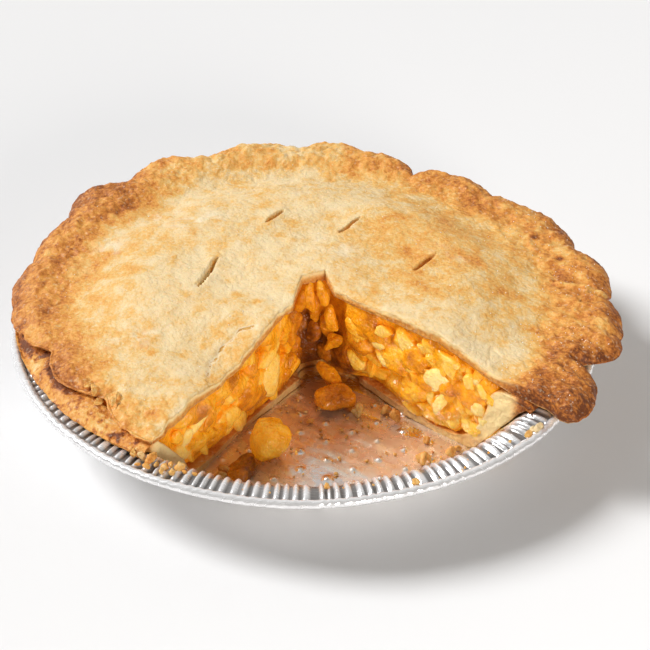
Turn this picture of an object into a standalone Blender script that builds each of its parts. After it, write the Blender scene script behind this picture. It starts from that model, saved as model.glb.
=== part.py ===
"""Apple pie in its foil tin, with one slice cut out and lifted away.

Lengths are in millimetres and angles in degrees; make_solid() turns the points into metres.
The origin is the middle of the tin's underside, +Z is up and the missing slice opens towards -Y.

Each layer of the pie is a block of points with three directions: round from the right cut to the
left cut, outwards from the corner where the two cuts meet, and up through the layer. The two ends
of the block are the cut faces.
"""
import bpy
import numpy as np

MM = 0.001

# Foil tin
FOIL = 0.6
FLOOR_R = 86.0
WALL_TOP_R = 109.0
FLANGE_R = 118.6
FLANGE_Z = 29.6
BEAD_R = 122.0
BEAD_TOP_Z = 31.6
PLEATS = 180
PLEAT_DEPTH = 0.45
POINTS_PER_BEAD_POINT = 3

# Cut
CORNER = np.array([5.0, -3.0])
RIGHT_CUT = -38.5
LEFT_CUT = 233.5
CLEARANCE = 0.5
PULL_SPREAD = 80.0

# Top crust
PEAK_Z = 50.3
RIM_Z = 41.6
SHOULDER_R = 60.0
VALLEY_R = 104.0
CRUST = 4.5
EDGE_ROUND = 10.0
EDGE_DROP = 3.8

# Slope at which the top crust hangs down past this radius: at the right, then everywhere else
DROOP_R = 112.0
RIGHT_DROOP = 0.12
DROOP = 0.36
DROOP_BEGINS = (8.0, 50.0)

# Rim lifted at the back, lowered at the left cut: the azimuths between which each one comes and goes
BACK_LIFT = 5.0
BACK_RISES = (20.0, 86.0)
BACK_FALLS = (140.0, 172.0)
BACK_R = (88.0, 112.0)
LEFT_END_FALLS = (218.0, 232.0)

# Hollow along the left cut: depth, distance from the corner, half length, half width
SLUMP_DEPTH = 10.0
SLUMP_AT = 60.0
SLUMP_LENGTH = 24.0
SLUMP_WIDTH = 30.0

# Gentle waves of the top: height, length along X, length along Y, phase
WAVES = [(0.35, 11.0, 13.0, 0.4), (0.35, 11.0, -13.0, 1.2), (0.4, 17.0, 8.5, 0.0)]
WAVES_END = (112.0, 80.0)

# Blunt corner of the cut: the azimuth each short wall faces from, and its distance
CORNER_WALLS = [(16.0, 5.0), (107.0, 5.7), (166.0, 7.1)]

# Rim lobes of the top crust: azimuth, radius at the lobe's tip, half width, lift of the crest
LOBES = [
    (-34.5, 135.0, 9.2, 1.4),
    (-14.5, 132.8, 5.8, 1.6),
    (-7.5, 131.0, 10.0, 1.0),
    (8.5, 130.0, 11.5, 1.4),
    (30.0, 128.0, 9.5, 1.0),
    (50.5, 122.0, 8.5, 0.6),
    (73.0, 120.5, 8.0, 0.6),
    (84.0, 127.5, 7.5, 1.4),
    (102.0, 129.0, 10.0, 2.3),
    (122.0, 132.2, 8.0, 3.2),
    (139.8, 131.5, 7.6, 2.8),
    (157.0, 124.5, 11.0, 0.8),
    (171.0, 123.2, 12.0, 0.9),
    (182.0, 121.6, 12.0, 0.6),
    (191.0, 117.0, 8.0, 0.6),
    (208.0, 112.0, 11.0, 0.8),
    (234.0, 109.0, 14.0, 0.0),
]
LOBE_FALL = 7.5
CREST_INSET = 8.0
CREST_WIDTH = 8.0

# Stretch where the rolled rim of the bottom crust shows outside the top crust
OPEN_RIM = (190.0, 222.0)
SEAT_Z = 35.4
OPEN_SEAT_Z = 37.6
LEFT_END_SEAT_Z = 34.0
RIM_GAP = 0.95

# Bottom crust, thicker beside the right cut: by these shares of the thickness from the floor up
CRUST_FLOOR_Z = 0.9
BASE_CRUST = 3.2
THICK_END = 5.5
THICK_END_SHARES = (0.6, 0.3, 1.5, 0.5)
THICK_END_SPREAD = 14.0

# Outer radius of the bottom crust's rolled rim: it swells at the left and is tucked in at the right
ROPE_R = 117.0
ROPE_SWELL = 3.0
ROPE_SWELL_AT = 186.0
ROPE_SWELL_SPREAD = 16.0
ROPE_END = 2.5
ROPE_ENDS = (215.0, 236.0)
ROPE_TUCK = 4.5
ROPE_TUCK_ENDS = (30.0, 70.0)
ROPE_BUMP = 0.9
ROPE_BUMPS = 17

# Food broken back from the right cut, low down: depth, distance from the corner, half length, height
RECESS = 10.5
RECESS_AT = 25.0
RECESS_SPREAD = 16.0
RECESS_TOP = 28.0
CORNER_BREAK = 9.0

# Filling: its outer radius at shares of its height, from the floor up
FILLING_R = (79.6, 88.9, 99.8, 99.4)
FILLING_R_AT = (0.0, 0.35, 0.85, 1.0)
CHUNK_R = 8.5
CHUNK_RELIEF = 5.0
CHUNKS_PER_FACE = 26
HOLLOW = 6.0
HIDDEN_GAP = 1.4

# Vent slits: middle, length, azimuth
SLITS = [
    (np.array([-12.9, 46.7]), 13.0, 54.0),
    (np.array([-40.2, 4.7]), 23.5, 71.0),
    (np.array([19.0, 39.5]), 16.0, 53.0),
    (np.array([50.0, 11.4]), 16.0, 52.0),
]
SLIT_WIDTH = 3.0
SLIT_DEPTH = 3.2

# Pieces of apple lying in the gap: name, middle, half sizes, turn about Z, tilt about Y, seed
FALLEN = [
    ("apple_chunk_front", (-13.6, -55.0, 10.0), (9.0, 9.0, 8.6), 25.0, 8.0, 3),
    ("apple_slice_front", (-25.6, -66.4, 3.4), (9.4, 6.4, 2.1), 48.0, 0.0, 5),
    ("apple_chunk_corner", (11.5, -24.5, 5.6), (9.4, 6.4, 4.4), 18.0, 0.0, 8),
    ("apple_slice_corner", (10.0, -12.5, 9.4), (8.4, 3.2, 2.6), -46.0, 30.0, 9),
]
SQUARENESS = 0.72


def smoothstep(low, high, value):
    """0 below low, 1 above high, and the cubic 3t2 - 2t3 between them."""
    t = np.clip((value - low) / (high - low), 0.0, 1.0)
    return t * t * (3.0 - 2.0 * t)


def turned(azimuth):
    """The same azimuth, counted from the right cut round to the left cut."""
    return (np.asarray(azimuth) + 60.0) % 360.0 - 60.0


def make_material(name, color, roughness, metallic=0.0):
    material = bpy.data.materials.new(name)
    material.use_nodes = True
    shader = material.node_tree.nodes["Principled BSDF"]
    shader.inputs["Base Color"].default_value = (*color, 1.0)
    shader.inputs["Roughness"].default_value = roughness
    shader.inputs["Metallic"].default_value = metallic
    return material


def make_solid(name, points, faces, material):
    """A closed mesh object from points in millimetres, shaded smooth away from its edges."""
    mesh = bpy.data.meshes.new(name)
    mesh.from_pydata((np.asarray(points) * MM).tolist(), [], [list(face) for face in faces])
    mesh.materials.append(material)
    mesh.shade_smooth()
    mesh.set_sharp_from_angle(angle=np.radians(50.0))
    solid = bpy.data.objects.new(name, mesh)
    bpy.context.collection.objects.link(solid)
    return solid


def block_solid(name, block, material):
    """A solid from a block of points [round, out, up]: its six sides, each of four-cornered faces."""
    around, out, up, _ = block.shape
    index = np.arange(around * out * up).reshape(around, out, up)
    sides = [
        (index[:, :, -1], False),
        (index[:, :, 0], True),
        (index[:, -1, :], True),
        (index[:, 0, :], False),
        (index[-1, :, :], False),
        (index[0, :, :], True),
    ]
    faces = []
    for side, turn in sides:
        a, b, c, d = side[:-1, :-1], side[:-1, 1:], side[1:, 1:], side[1:, :-1]
        quads = np.stack([a, b, c, d], axis=-1).reshape(-1, 4)
        faces.append(quads[:, ::-1] if turn else quads)
    faces = np.concatenate(faces)
    used, faces = np.unique(faces, return_inverse=True)
    return make_solid(name, block.reshape(-1, 3)[used], faces.reshape(-1, 4), material)


def rho_at_radius(theta, radius):
    """Distance from the cuts' corner, in direction theta, to a circle about the tin's axis."""
    along = CORNER[0] * np.cos(np.radians(theta)) + CORNER[1] * np.sin(np.radians(theta))
    return -along + np.sqrt(along**2 + np.asarray(radius) ** 2 - CORNER @ CORNER)


def place(theta, rho, z):
    """Points at distance rho from the cuts' corner in direction theta, at height z."""
    theta, rho, z = np.broadcast_arrays(theta, rho, z)
    x = CORNER[0] + rho * np.cos(np.radians(theta))
    y = CORNER[1] + rho * np.sin(np.radians(theta))
    return np.stack([x, y, z], axis=-1)


def radius_and_azimuth(points):
    """Distance from the tin's axis, and azimuth counted from the right cut to the left cut."""
    azimuth = np.degrees(np.arctan2(points[..., 1], points[..., 0]))
    return np.hypot(points[..., 0], points[..., 1]), turned(azimuth)


def edge_radius(azimuth):
    """Outline of the top crust: the highest of its lobes, each a parabola about its own tip."""
    azimuth = turned(azimuth)
    reach = [tip - LOBE_FALL * ((azimuth - at) / half) ** 2 for at, tip, half, _ in LOBES]
    return np.max(reach, axis=0)


def crest_lift(azimuth):
    """How far each lobe's crest stands above the rim, as a smooth hump over its own width."""
    azimuth = turned(azimuth)
    humps = [lift * np.exp(-(((azimuth - at) / (0.6 * half)) ** 2)) for at, _, half, lift in LOBES]
    return np.sum(humps, axis=0)


def edge_rho(theta):
    """Distance from the cuts' corner to the top crust's outline, settled by repeated steps."""
    rho = rho_at_radius(theta, BEAD_R)
    for _ in range(8):
        _, azimuth = radius_and_azimuth(place(theta, rho, 0.0))
        rho = rho_at_radius(theta, edge_radius(azimuth))
    return rho


def corner_rho(theta):
    """Distance from the cuts' corner to its blunt walls: the nearest of the straight walls."""
    reach = [distance / np.maximum(np.cos(np.radians(theta - at)), 0.1) for at, distance in CORNER_WALLS]
    return np.min(reach, axis=0)


def lid_stations(theta):
    """Distances from the cuts' corner at which the top crust is measured, out to its outline."""
    inner = np.array([0.0, 0.38, 0.66, 0.84, 1.0] + [1.0] * 5)
    outer = np.array([0.0] * 5 + [0.34, 0.62, 0.82, 0.95, 1.0])
    start, middle, edge = corner_rho(theta), rho_at_radius(theta, 94.0), edge_rho(theta)
    start, middle, edge = start[:, None], middle[:, None], edge[:, None]
    return start + (middle - start) * inner + (edge - middle) * outer


def seat_height(azimuth):
    """Height of the bottom crust's rim, on which the top crust's rim rests."""
    opening = smoothstep(OPEN_RIM[0] - 10, OPEN_RIM[0] + 4, azimuth)
    closing = smoothstep(OPEN_RIM[1] - 6, OPEN_RIM[1] + 10, azimuth)
    return SEAT_Z + (OPEN_SEAT_Z - SEAT_Z) * opening + (LEFT_END_SEAT_Z - OPEN_SEAT_Z) * closing


def droop(radius, azimuth):
    """How far the crust hangs down past the rim: less at the right, where it stands out stiffly."""
    slope = RIGHT_DROOP + (DROOP - RIGHT_DROOP) * smoothstep(*DROOP_BEGINS, azimuth)
    return slope * np.maximum(radius - DROOP_R, 0.0)


def slump(points):
    """How far the crust has sunk along the left cut: a bell across the cut and one along it."""
    theta = np.radians(LEFT_CUT)
    dx, dy = points[..., 0] - CORNER[0], points[..., 1] - CORNER[1]
    along = dx * np.cos(theta) + dy * np.sin(theta)
    across = dx * np.sin(theta) - dy * np.cos(theta)
    bell = np.exp(-(((along - SLUMP_AT) / SLUMP_LENGTH) ** 2) - (across / SLUMP_WIDTH) ** 2)
    return SLUMP_DEPTH * bell


def dome(points):
    """Smooth height of the top crust: flat in the middle, then falling to the rim."""
    radius, azimuth = radius_and_azimuth(points)
    rim = smoothstep(SHOULDER_R, VALLEY_R, radius)
    height = PEAK_Z + (RIM_Z - PEAK_Z) * rim - droop(radius, azimuth)
    lowered = (LEFT_END_SEAT_Z + CRUST - RIM_Z) * smoothstep(*LEFT_END_FALLS, azimuth) * rim
    back = smoothstep(*BACK_RISES, azimuth) - smoothstep(*BACK_FALLS, azimuth)
    lifted = BACK_LIFT * back * smoothstep(*BACK_R, radius)
    return height - slump(points) + lowered + lifted


def waves(points):
    """Gentle unevenness of the top: the sum of a few long sine waves."""
    x, y = points[..., 0], points[..., 1]
    return sum(height * np.sin(x / along + y / up + phase) for height, along, up, phase in WAVES)


def crust_top(points):
    """The dome with gentle waves, the lobes' crests, and its edge rounded down."""
    radius, azimuth = radius_and_azimuth(points)
    inset = np.clip(edge_radius(azimuth) - radius, 0.0, None)
    crest = crest_lift(azimuth) * np.exp(-(((inset - CREST_INSET) / CREST_WIDTH) ** 2))
    rounding = 1.0 - np.sqrt(1.0 - np.clip(1.0 - inset / EDGE_ROUND, 0.0, 1.0) ** 2)
    gentle = waves(points) * smoothstep(*WAVES_END, radius)
    return dome(points) + gentle + crest - EDGE_DROP * rounding


def crust_underside(points):
    """The dome less the crust's thickness, settling on the bottom crust's rim further out."""
    radius, azimuth = radius_and_azimuth(points)
    seat = seat_height(azimuth) + RIM_GAP - droop(radius, azimuth)
    on_rim = smoothstep(97.0, 104.0, radius)
    return (dome(points) - CRUST) * (1.0 - on_rim) + seat * on_rim


def pulled_back(theta, rho, right, left):
    """Azimuths of the block's columns, with each cut face pulled into the food by a distance.

    The turn at a cut is the angle whose tangent is distance over rho. It dies out further round.
    """
    near_right = np.clip(1.0 - (theta - RIGHT_CUT) / PULL_SPREAD, 0.0, 1.0)
    near_left = np.clip(1.0 - (LEFT_CUT - theta) / PULL_SPREAD, 0.0, 1.0)
    right_turn = np.degrees(np.arctan2(right, rho)) * near_right
    left_turn = np.degrees(np.arctan2(left, rho)) * near_left
    return theta + right_turn - left_turn


def base_recess(rho):
    """How far the food has broken back from the right cut, low down near the corner."""
    return RECESS * np.exp(-(((rho - RECESS_AT) / RECESS_SPREAD) ** 2))


def columns(count, crowding=0.0):
    """Azimuths from the right cut to the left cut, crowded towards both cuts."""
    t = np.linspace(0.0, 1.0, count + 1)
    t = t - crowding * np.sin(2.0 * np.pi * t) / (2.0 * np.pi)
    return RIGHT_CUT + (LEFT_CUT - RIGHT_CUT) * t


def stitch(fine, coarse):
    """Faces between a ring of points and one with a third as many, pointing up as they go out."""
    count, step = len(coarse), POINTS_PER_BEAD_POINT
    faces = []
    for j in range(count):
        here, after = coarse[j], coarse[(j + 1) % count]
        a, b, c = fine[step * j], fine[step * j + 1], fine[step * j + 2]
        d = fine[(step * j + step) % len(fine)]
        faces += [(a, here, b), (b, here, c), (c, here, after), (c, after, d)]
    return faces


def ring_faces(inner, outer):
    """Faces between two rings of equal count, pointing up as they go out."""
    return [
        (inner[i], outer[i], outer[(i + 1) % len(outer)], inner[(i + 1) % len(inner)])
        for i in range(len(inner))
    ]


def make_tin(material):
    """The pan: flat floor, pleated wall and flange, and a plain rolled bead round the rim."""
    fine = np.linspace(0.0, 2.0 * np.pi, 2 * PLEATS, endpoint=False)
    zigzag = PLEAT_DEPTH * np.where(np.arange(2 * PLEATS) % 2, -1.0, 1.0)
    points, rings = [], []

    def add_ring(radius, z, inward=0.0, upward=0.0, every=1):
        turn = fine[::every]
        r = radius - inward * zigzag[::every]
        height = z + upward * zigzag[::every]
        rings.append(list(range(len(points), len(points) + len(turn))))
        points.extend(np.stack([r * np.cos(turn), r * np.sin(turn), height], axis=-1).tolist())
        return rings[-1]

    floor_top = add_ring(FLOOR_R - 0.2, FOIL)
    wall_top = add_ring(WALL_TOP_R - 0.3, FLANGE_Z, 0.5, 0.8)
    flange_top = add_ring(FLANGE_R, FLANGE_Z + 0.3, 0.0, 0.8)
    bead_outline = [
        (FLANGE_R + 0.5, BEAD_TOP_Z - 0.5),
        (BEAD_R - 1.5, BEAD_TOP_Z),
        (BEAD_R, BEAD_TOP_Z - 1.5),
        (BEAD_R - 0.5, BEAD_TOP_Z - 3.1),
        (FLANGE_R + 0.7, BEAD_TOP_Z - 3.4),
    ]
    bead = [add_ring(r, z, every=POINTS_PER_BEAD_POINT) for r, z in bead_outline]
    flange_under = add_ring(FLANGE_R, FLANGE_Z + 0.3 - FOIL, 0.0, 0.8)
    wall_under = add_ring(WALL_TOP_R + 0.3, FLANGE_Z - FOIL, 0.5, 0.8)
    floor_under = add_ring(FLOOR_R + 0.3, 0.0)

    faces = ring_faces(floor_top, wall_top) + ring_faces(wall_top, flange_top)
    faces += stitch(flange_top, bead[0])
    for inner, outer in zip(bead, bead[1:]):
        faces += ring_faces(inner, outer)
    faces += [face[::-1] for face in stitch(flange_under, bead[-1])]
    faces += ring_faces(flange_under, wall_under) + ring_faces(wall_under, floor_under)
    for ring, z, turn in ((floor_top, FOIL, 1), (floor_under, 0.0, -1)):
        middle = len(points)
        points.append([0.0, 0.0, z])
        fan = [(middle, ring[i], ring[(i + 1) % len(ring)]) for i in range(len(ring))]
        faces += [face[::turn] for face in fan]
    return make_solid("tin", points, faces, material)


def rim_reach(azimuth):
    """Outer radius of the bottom crust's rolled rim: short at the right, full at the left."""
    swell = ROPE_SWELL * np.exp(-(((azimuth - ROPE_SWELL_AT) / ROPE_SWELL_SPREAD) ** 2))
    end = ROPE_END * smoothstep(*ROPE_ENDS, azimuth)
    return ROPE_R + swell - end - ROPE_TUCK * (1.0 - smoothstep(*ROPE_TUCK_ENDS, azimuth))


def end_thickening(azimuth):
    """Extra thickness of the raw crust's wall beside the right cut: a bell round the cut."""
    return THICK_END * np.exp(-(((azimuth - RIGHT_CUT) / THICK_END_SPREAD) ** 2))


def make_bottom_crust(material):
    """The crust that lines the tin: floor, sloping wall and rolled rim, open at the cut.

    Each cross-section has an outer path against the tin and an inner path against the filling.
    """
    theta = columns(56)
    corner = CORNER_BREAK + CORNER_BREAK * (1.0 - smoothstep(RIGHT_CUT, 40.0, theta))
    azimuth = radius_and_azimuth(place(theta, rho_at_radius(theta, WALL_TOP_R), 0.0))[1]
    seat, reach, extra = seat_height(azimuth), rim_reach(azimuth), end_thickening(azimuth)
    bumps = 0.5 + 0.5 * np.sin(np.radians(azimuth) * ROPE_BUMPS)
    top = seat - ROPE_BUMP * bumps * smoothstep(OPEN_RIM[0] - 6.0, OPEN_RIM[0] + 2.0, azimuth)
    low, high = CRUST_FLOOR_Z, CRUST_FLOOR_Z + BASE_CRUST
    flange = FLANGE_Z + 1.3
    outer = [
        (84.6, low),
        (96.5, 0.5 * (low + flange)),
        (108.4, flange),
        (np.minimum(113.0, reach - 1.0), flange),
        (reach - 1.2, flange + 1.4),
        (reach, flange + 2.6),
    ]
    foot, middle, shoulder, brow = (share * extra for share in THICK_END_SHARES)
    inner = [
        (80.6 - foot, high + 0.3),
        (90.4 - middle, 17.0),
        (101.5 - shoulder, seat - 3.0),
        (105.5 - brow, seat),
        (reach - 4.5, top - droop(reach - 4.5, azimuth)),
        (reach - 1.2, top - 1.4 - droop(reach - 1.2, azimuth)),
    ]
    block = np.empty((len(theta), len(outer) + 2, 2, 3))
    for side, path, floor_z in ((0, outer, low), (1, inner, high)):
        wall_rho = rho_at_radius(theta, path[0][0])
        for step, share in enumerate((0.0, 0.5)):
            rho = corner + (wall_rho - corner) * share
            turned_theta = pulled_back(theta, rho, base_recess(rho), 3.0)
            block[:, step, side] = place(turned_theta, rho, floor_z)
        for step, (radius, z) in enumerate(path):
            rho = rho_at_radius(theta, radius)
            block[:, step + 2, side] = place(theta, rho, z)
    return block_solid("bottom_crust", block, material)


def chunk_relief(along, up, seed):
    """Bumps of the apple chunks on a cut face: the nearest chunk's dome, as a half ellipse."""
    random = np.random.default_rng(seed)
    at = random.uniform((10.0, 6.0), (92.0, 42.0), (CHUNKS_PER_FACE, 2))
    size = random.uniform(0.7, 1.15, CHUNKS_PER_FACE) * CHUNK_R
    gap = (along[..., None] - at[:, 0]) ** 2 + 1.6 * (up[..., None] - at[:, 1]) ** 2
    swell = np.sqrt(np.clip(1.0 - gap / size**2, 0.0, 1.0))
    return CHUNK_RELIEF * (swell.max(axis=-1) - 0.55)


def make_filling(material):
    """Cooked apple between the crusts, with bumpy cut faces and a hollow low in the corner."""
    theta = columns(14, 0.6)
    out = np.linspace(0.0, 1.0, 19)
    up = np.linspace(0.0, 1.0, 8)
    t, u, v = np.meshgrid(theta, out, up, indexing="ij")
    azimuth = radius_and_azimuth(place(t, rho_at_radius(t, 100.0), 0.0))[1]
    low = CRUST_FLOOR_Z + BASE_CRUST + CLEARANCE + 0.3
    extra = end_thickening(azimuth) * np.interp(v, FILLING_R_AT[:3], THICK_END_SHARES[:3])
    hidden_gap = HIDDEN_GAP * smoothstep(0.0, 20.0, np.minimum(t - RIGHT_CUT, LEFT_CUT - t))
    wall = np.interp(v, FILLING_R_AT, FILLING_R) - extra - hidden_gap
    corner = corner_rho(t) + 1.0 + HOLLOW * np.sin(np.pi * np.clip(1.25 - v, 0.0, 1.0)) ** 0.7
    outer = rho_at_radius(t, wall)
    rho = corner + (outer - corner) * u
    stations = lid_stations(theta)
    ceiling = crust_underside(place(theta[:, None], stations, 0.0))
    top = np.stack([np.interp(rho[i], stations[i], ceiling[i]) for i in range(len(theta))])
    top = top - CLEARANCE - hidden_gap
    z = low + (top - low) * v
    recess = base_recess(rho) * np.clip(1.0 - z / RECESS_TOP, 0.0, 1.0)
    inside = np.minimum(1.0, 6.0 * v * (1.0 - v) + 0.2) * np.minimum(1.0, 8.0 * u * (1.0 - u) + 0.2)
    right = recess + 0.8 - inside * chunk_relief(rho, z, 11)
    left = 3.0 * (1.0 - v) + 0.8 - inside * chunk_relief(rho, z, 12)
    block = place(pulled_back(t, rho, right, left), rho, z)
    return block_solid("filling", block, material)


def add_slits(crust, material):
    """Blind lens-shaped slits, cut into the crust's face by hidden cutters."""
    for number, (middle, length, azimuth) in enumerate(SLITS):
        turn = np.linspace(0.0, 2.0 * np.pi, 12, endpoint=False)
        along = 0.5 * length * np.cos(turn)
        across = 0.5 * SLIT_WIDTH * np.sin(turn) * np.abs(np.sin(turn)) ** 0.3
        c, s = np.cos(np.radians(azimuth)), np.sin(np.radians(azimuth))
        x, y = middle[0] + along * c - across * s, middle[1] + along * s + across * c
        surface = crust_top(np.array([[middle[0], middle[1], 0.0]]))[0]
        low = np.stack([x, y, np.full_like(x, surface - SLIT_DEPTH)], axis=-1)
        high = low + (0.0, 0.0, SLIT_DEPTH + 8.0)
        count = len(turn)
        faces = [(i, (i + 1) % count, count + (i + 1) % count, count + i) for i in range(count)]
        faces += [tuple(range(count))[::-1], tuple(range(count, 2 * count))]
        cutter = make_solid(f"slit_cutter_{number + 1}", np.concatenate([low, high]), faces, material)
        cutter.hide_render = True
        cutter.display_type = "WIRE"
        cut = crust.modifiers.new(f"slit_{number + 1}", "BOOLEAN")
        cut.operation = "DIFFERENCE"
        cut.object = cutter


def make_top_crust(material):
    """The lid: a slab that follows the dome, out to the lobes of its rim."""
    theta = columns(96)
    rho = lid_stations(theta)
    points = place(theta[:, None], rho, 0.0)
    under, over = crust_underside(points), crust_top(points)
    blunt = np.array([0.0] * 8 + [0.4, 1.4])
    inset = np.array([0.0] * 9 + [1.2])
    under = under + blunt
    over = np.maximum(over, under + 1.2)
    block = np.stack([place(theta[:, None], rho - inset, under), place(theta[:, None], rho, over)], axis=2)
    crust = block_solid("top_crust", block, material)
    add_slits(crust, material)
    return crust


def make_fallen_piece(name, middle, half, turn, tilt, seed, material):
    """A piece of cooked apple: a squared-off ellipsoid with a few seeded dents."""
    rows, count = 6, 10
    random = np.random.default_rng(seed)
    down = np.radians(np.linspace(0.0, 180.0, rows + 1))[1:-1, None]
    round_ = np.linspace(0.0, 2.0 * np.pi, count, endpoint=False)[None, :]

    def squared(value):
        return np.sign(value) * np.abs(value) ** SQUARENESS

    ring = squared(np.sin(down))
    x = (ring * squared(np.cos(round_))).ravel()
    y = (ring * squared(np.sin(round_))).ravel()
    z = np.broadcast_to(squared(np.cos(down)), (rows - 1, count)).ravel()
    unit = np.stack([x, y, z], axis=-1) * random.uniform(0.86, 1.0, (len(x), 1))
    unit = np.concatenate([unit, [[0.0, 0.0, 0.97], [0.0, 0.0, -0.97]]]) * half
    c, s = np.cos(np.radians(tilt)), np.sin(np.radians(tilt))
    tilted = unit @ np.array([[c, 0.0, s], [0.0, 1.0, 0.0], [-s, 0.0, c]]).T
    c, s = np.cos(np.radians(turn)), np.sin(np.radians(turn))
    points = tilted @ np.array([[c, -s, 0.0], [s, c, 0.0], [0.0, 0.0, 1.0]]).T + middle
    index = np.arange((rows - 1) * count).reshape(rows - 1, count)
    faces = []
    for upper, lower in zip(index, index[1:]):
        faces += ring_faces(upper, lower)
    top, bottom = len(points) - 2, len(points) - 1
    faces += [(top, index[0][i], index[0][(i + 1) % count]) for i in range(count)]
    faces += [(index[-1][(i + 1) % count], index[-1][i], bottom) for i in range(count)]
    return make_solid(name, points, faces, material)


def main():
    for old in list(bpy.data.objects):
        bpy.data.objects.remove(old, do_unlink=True)
    foil = make_material("foil", (0.78, 0.78, 0.79), 0.25, 1.0)
    crust = make_material("baked_crust", (0.80, 0.53, 0.24), 0.6)
    base = make_material("bottom_pastry", (0.78, 0.42, 0.14), 0.6)
    apple = make_material("apple_filling", (0.86, 0.42, 0.06), 0.25)
    chunk = make_material("apple_chunk", (0.92, 0.55, 0.12), 0.25)
    make_tin(foil)
    make_bottom_crust(base)
    make_filling(apple)
    make_top_crust(crust)
    for name, middle, half, turn, tilt, seed in FALLEN:
        make_fallen_piece(name, middle, half, turn, tilt, seed, chunk)


main()
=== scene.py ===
"""Looks of the apple pie in its foil tin: every surface is worked out with numpy as whole arrays.

Lengths are in millimetres and angles in degrees until make_piece() turns the points into metres.
Each layer of the pie is laid out round the corner where the two cuts meet: theta turns from the
right cut to the left cut, and rho is the distance from that corner.
"""

import bpy
import numpy as np
from mathutils import Matrix, Vector


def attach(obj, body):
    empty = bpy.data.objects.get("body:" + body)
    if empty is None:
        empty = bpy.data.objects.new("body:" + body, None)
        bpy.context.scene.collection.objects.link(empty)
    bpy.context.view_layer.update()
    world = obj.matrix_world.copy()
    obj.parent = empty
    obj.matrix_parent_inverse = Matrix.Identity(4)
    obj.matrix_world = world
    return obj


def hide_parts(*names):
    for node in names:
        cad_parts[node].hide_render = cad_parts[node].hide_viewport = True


MM = 0.001

# Foil tin
FOIL = 0.6
FLOOR_EDGE_R = 83.6
FLOOR_FLATTENS_R = 78.0
WALL_TOP_R = 109.0
FLANGE_Z = 29.6
FLANGE_TOP_Z = 30.4
BEAD_R = 122.0
BEAD_TOP_Z = 31.6
PLEATS = 180
STEPS_PER_PLEAT = 8
PLEAT_DEPTH = 0.75
DIMPLE_COLUMN = 10.6
DIMPLE_PITCH = 12.0
DIMPLE_START = (-2.5, -4.7)
DIMPLE_R = 2.2

# Cut
CORNER = np.array([5.0, -3.0])
RIGHT_CUT = -38.5
LEFT_CUT = 233.5
CLEARANCE = 0.5
PULL_SPREAD = 80.0

# Top crust
PEAK_Z = 50.3
RIM_Z = 41.6
SHOULDER_R = 60.0
VALLEY_R = 104.0
CRUST = 4.5
EDGE_ROUND = 10.0
EDGE_DROP = 3.8
DROOP_R = 112.0
RIGHT_DROOP = 0.12
DROOP = 0.36
DROOP_BEGINS = (8.0, 50.0)
BACK_LIFT = 5.0
BACK_RISES = (20.0, 86.0)
BACK_FALLS = (140.0, 172.0)
BACK_R = (88.0, 112.0)
LEFT_END_FALLS = (218.0, 232.0)
SLUMP_DEPTH = 10.0
SLUMP_AT = 60.0
SLUMP_LENGTH = 24.0
SLUMP_WIDTH = 30.0
WAVES = [(0.35, 11.0, 13.0, 0.4), (0.35, 11.0, -13.0, 1.2), (0.4, 17.0, 8.5, 0.0)]
WAVES_END = (112.0, 80.0)

# Blunt corner of the cut: the azimuth each short wall faces from, and its distance
CORNER_WALLS = [(16.0, 5.0), (107.0, 5.7), (166.0, 7.1)]

# Rim lobes of the top crust: azimuth, radius at the lobe's tip, half width, lift of the crest
LOBES = [
    (-34.5, 132.4, 9.2, 1.4),
    (-14.5, 131.8, 5.4, 1.6),
    (-7.5, 131.0, 10.0, 1.0),
    (8.5, 130.0, 11.5, 1.4),
    (29.0, 128.4, 11.3, 1.0),
    (50.5, 122.0, 8.5, 0.6),
    (73.0, 120.5, 8.0, 0.6),
    (84.0, 127.5, 7.5, 1.4),
    (102.0, 129.0, 10.0, 2.3),
    (122.0, 132.2, 8.0, 3.2),
    (139.8, 131.5, 7.6, 2.8),
    (157.0, 124.5, 11.0, 0.8),
    (171.0, 124.6, 12.0, 0.9),
    (182.0, 121.6, 12.0, 0.6),
    (191.0, 117.0, 8.0, 0.6),
    (208.0, 112.0, 11.0, 0.8),
    (234.0, 109.0, 14.0, 0.0),
]
LOBE_FALL = 7.5
CREST_INSET = 8.0
CREST_WIDTH = 8.0

# Seat of the top crust on the rolled rim of the bottom crust
OPEN_RIM = (190.0, 222.0)
SEAT_Z = 35.4
OPEN_SEAT_Z = 37.6
LEFT_END_SEAT_Z = 34.0
SETTLES_R = (97.0, 104.0)

# Bottom crust
CRUST_FLOOR_Z = 0.9
BASE_CRUST = 3.2
THICK_END = 5.5
THICK_END_SHARES = (0.6, 0.3, 1.5, 0.5)
THICK_END_SPREAD = 14.0
ROPE_R = 117.0
ROPE_SWELL = 3.0
ROPE_SWELL_AT = 186.0
ROPE_SWELL_SPREAD = 16.0
ROPE_END = 2.5
ROPE_ENDS = (215.0, 236.0)
ROPE_TUCK = 4.5
ROPE_TUCK_ENDS = (30.0, 70.0)
ROPE_BUMP = 0.9
ROPE_BUMPS = 17
RECESS = 10.5
RECESS_AT = 25.0
RECESS_SPREAD = 16.0
RECESS_TOP = 28.0
BASE_RIM_R = (101.0, 108.0)
CORNER_BREAK = 9.0

# Filling
FILLING_R = (79.6, 88.9, 99.8, 99.4)
FILLING_R_AT = (0.0, 0.35, 0.85, 1.0)
CHUNK_R = 8.5
CHUNK_RELIEF = 5.0
CHUNKS_PER_FACE = 26
HOLLOW = 6.0
HIDDEN_GAP = 1.4

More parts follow.
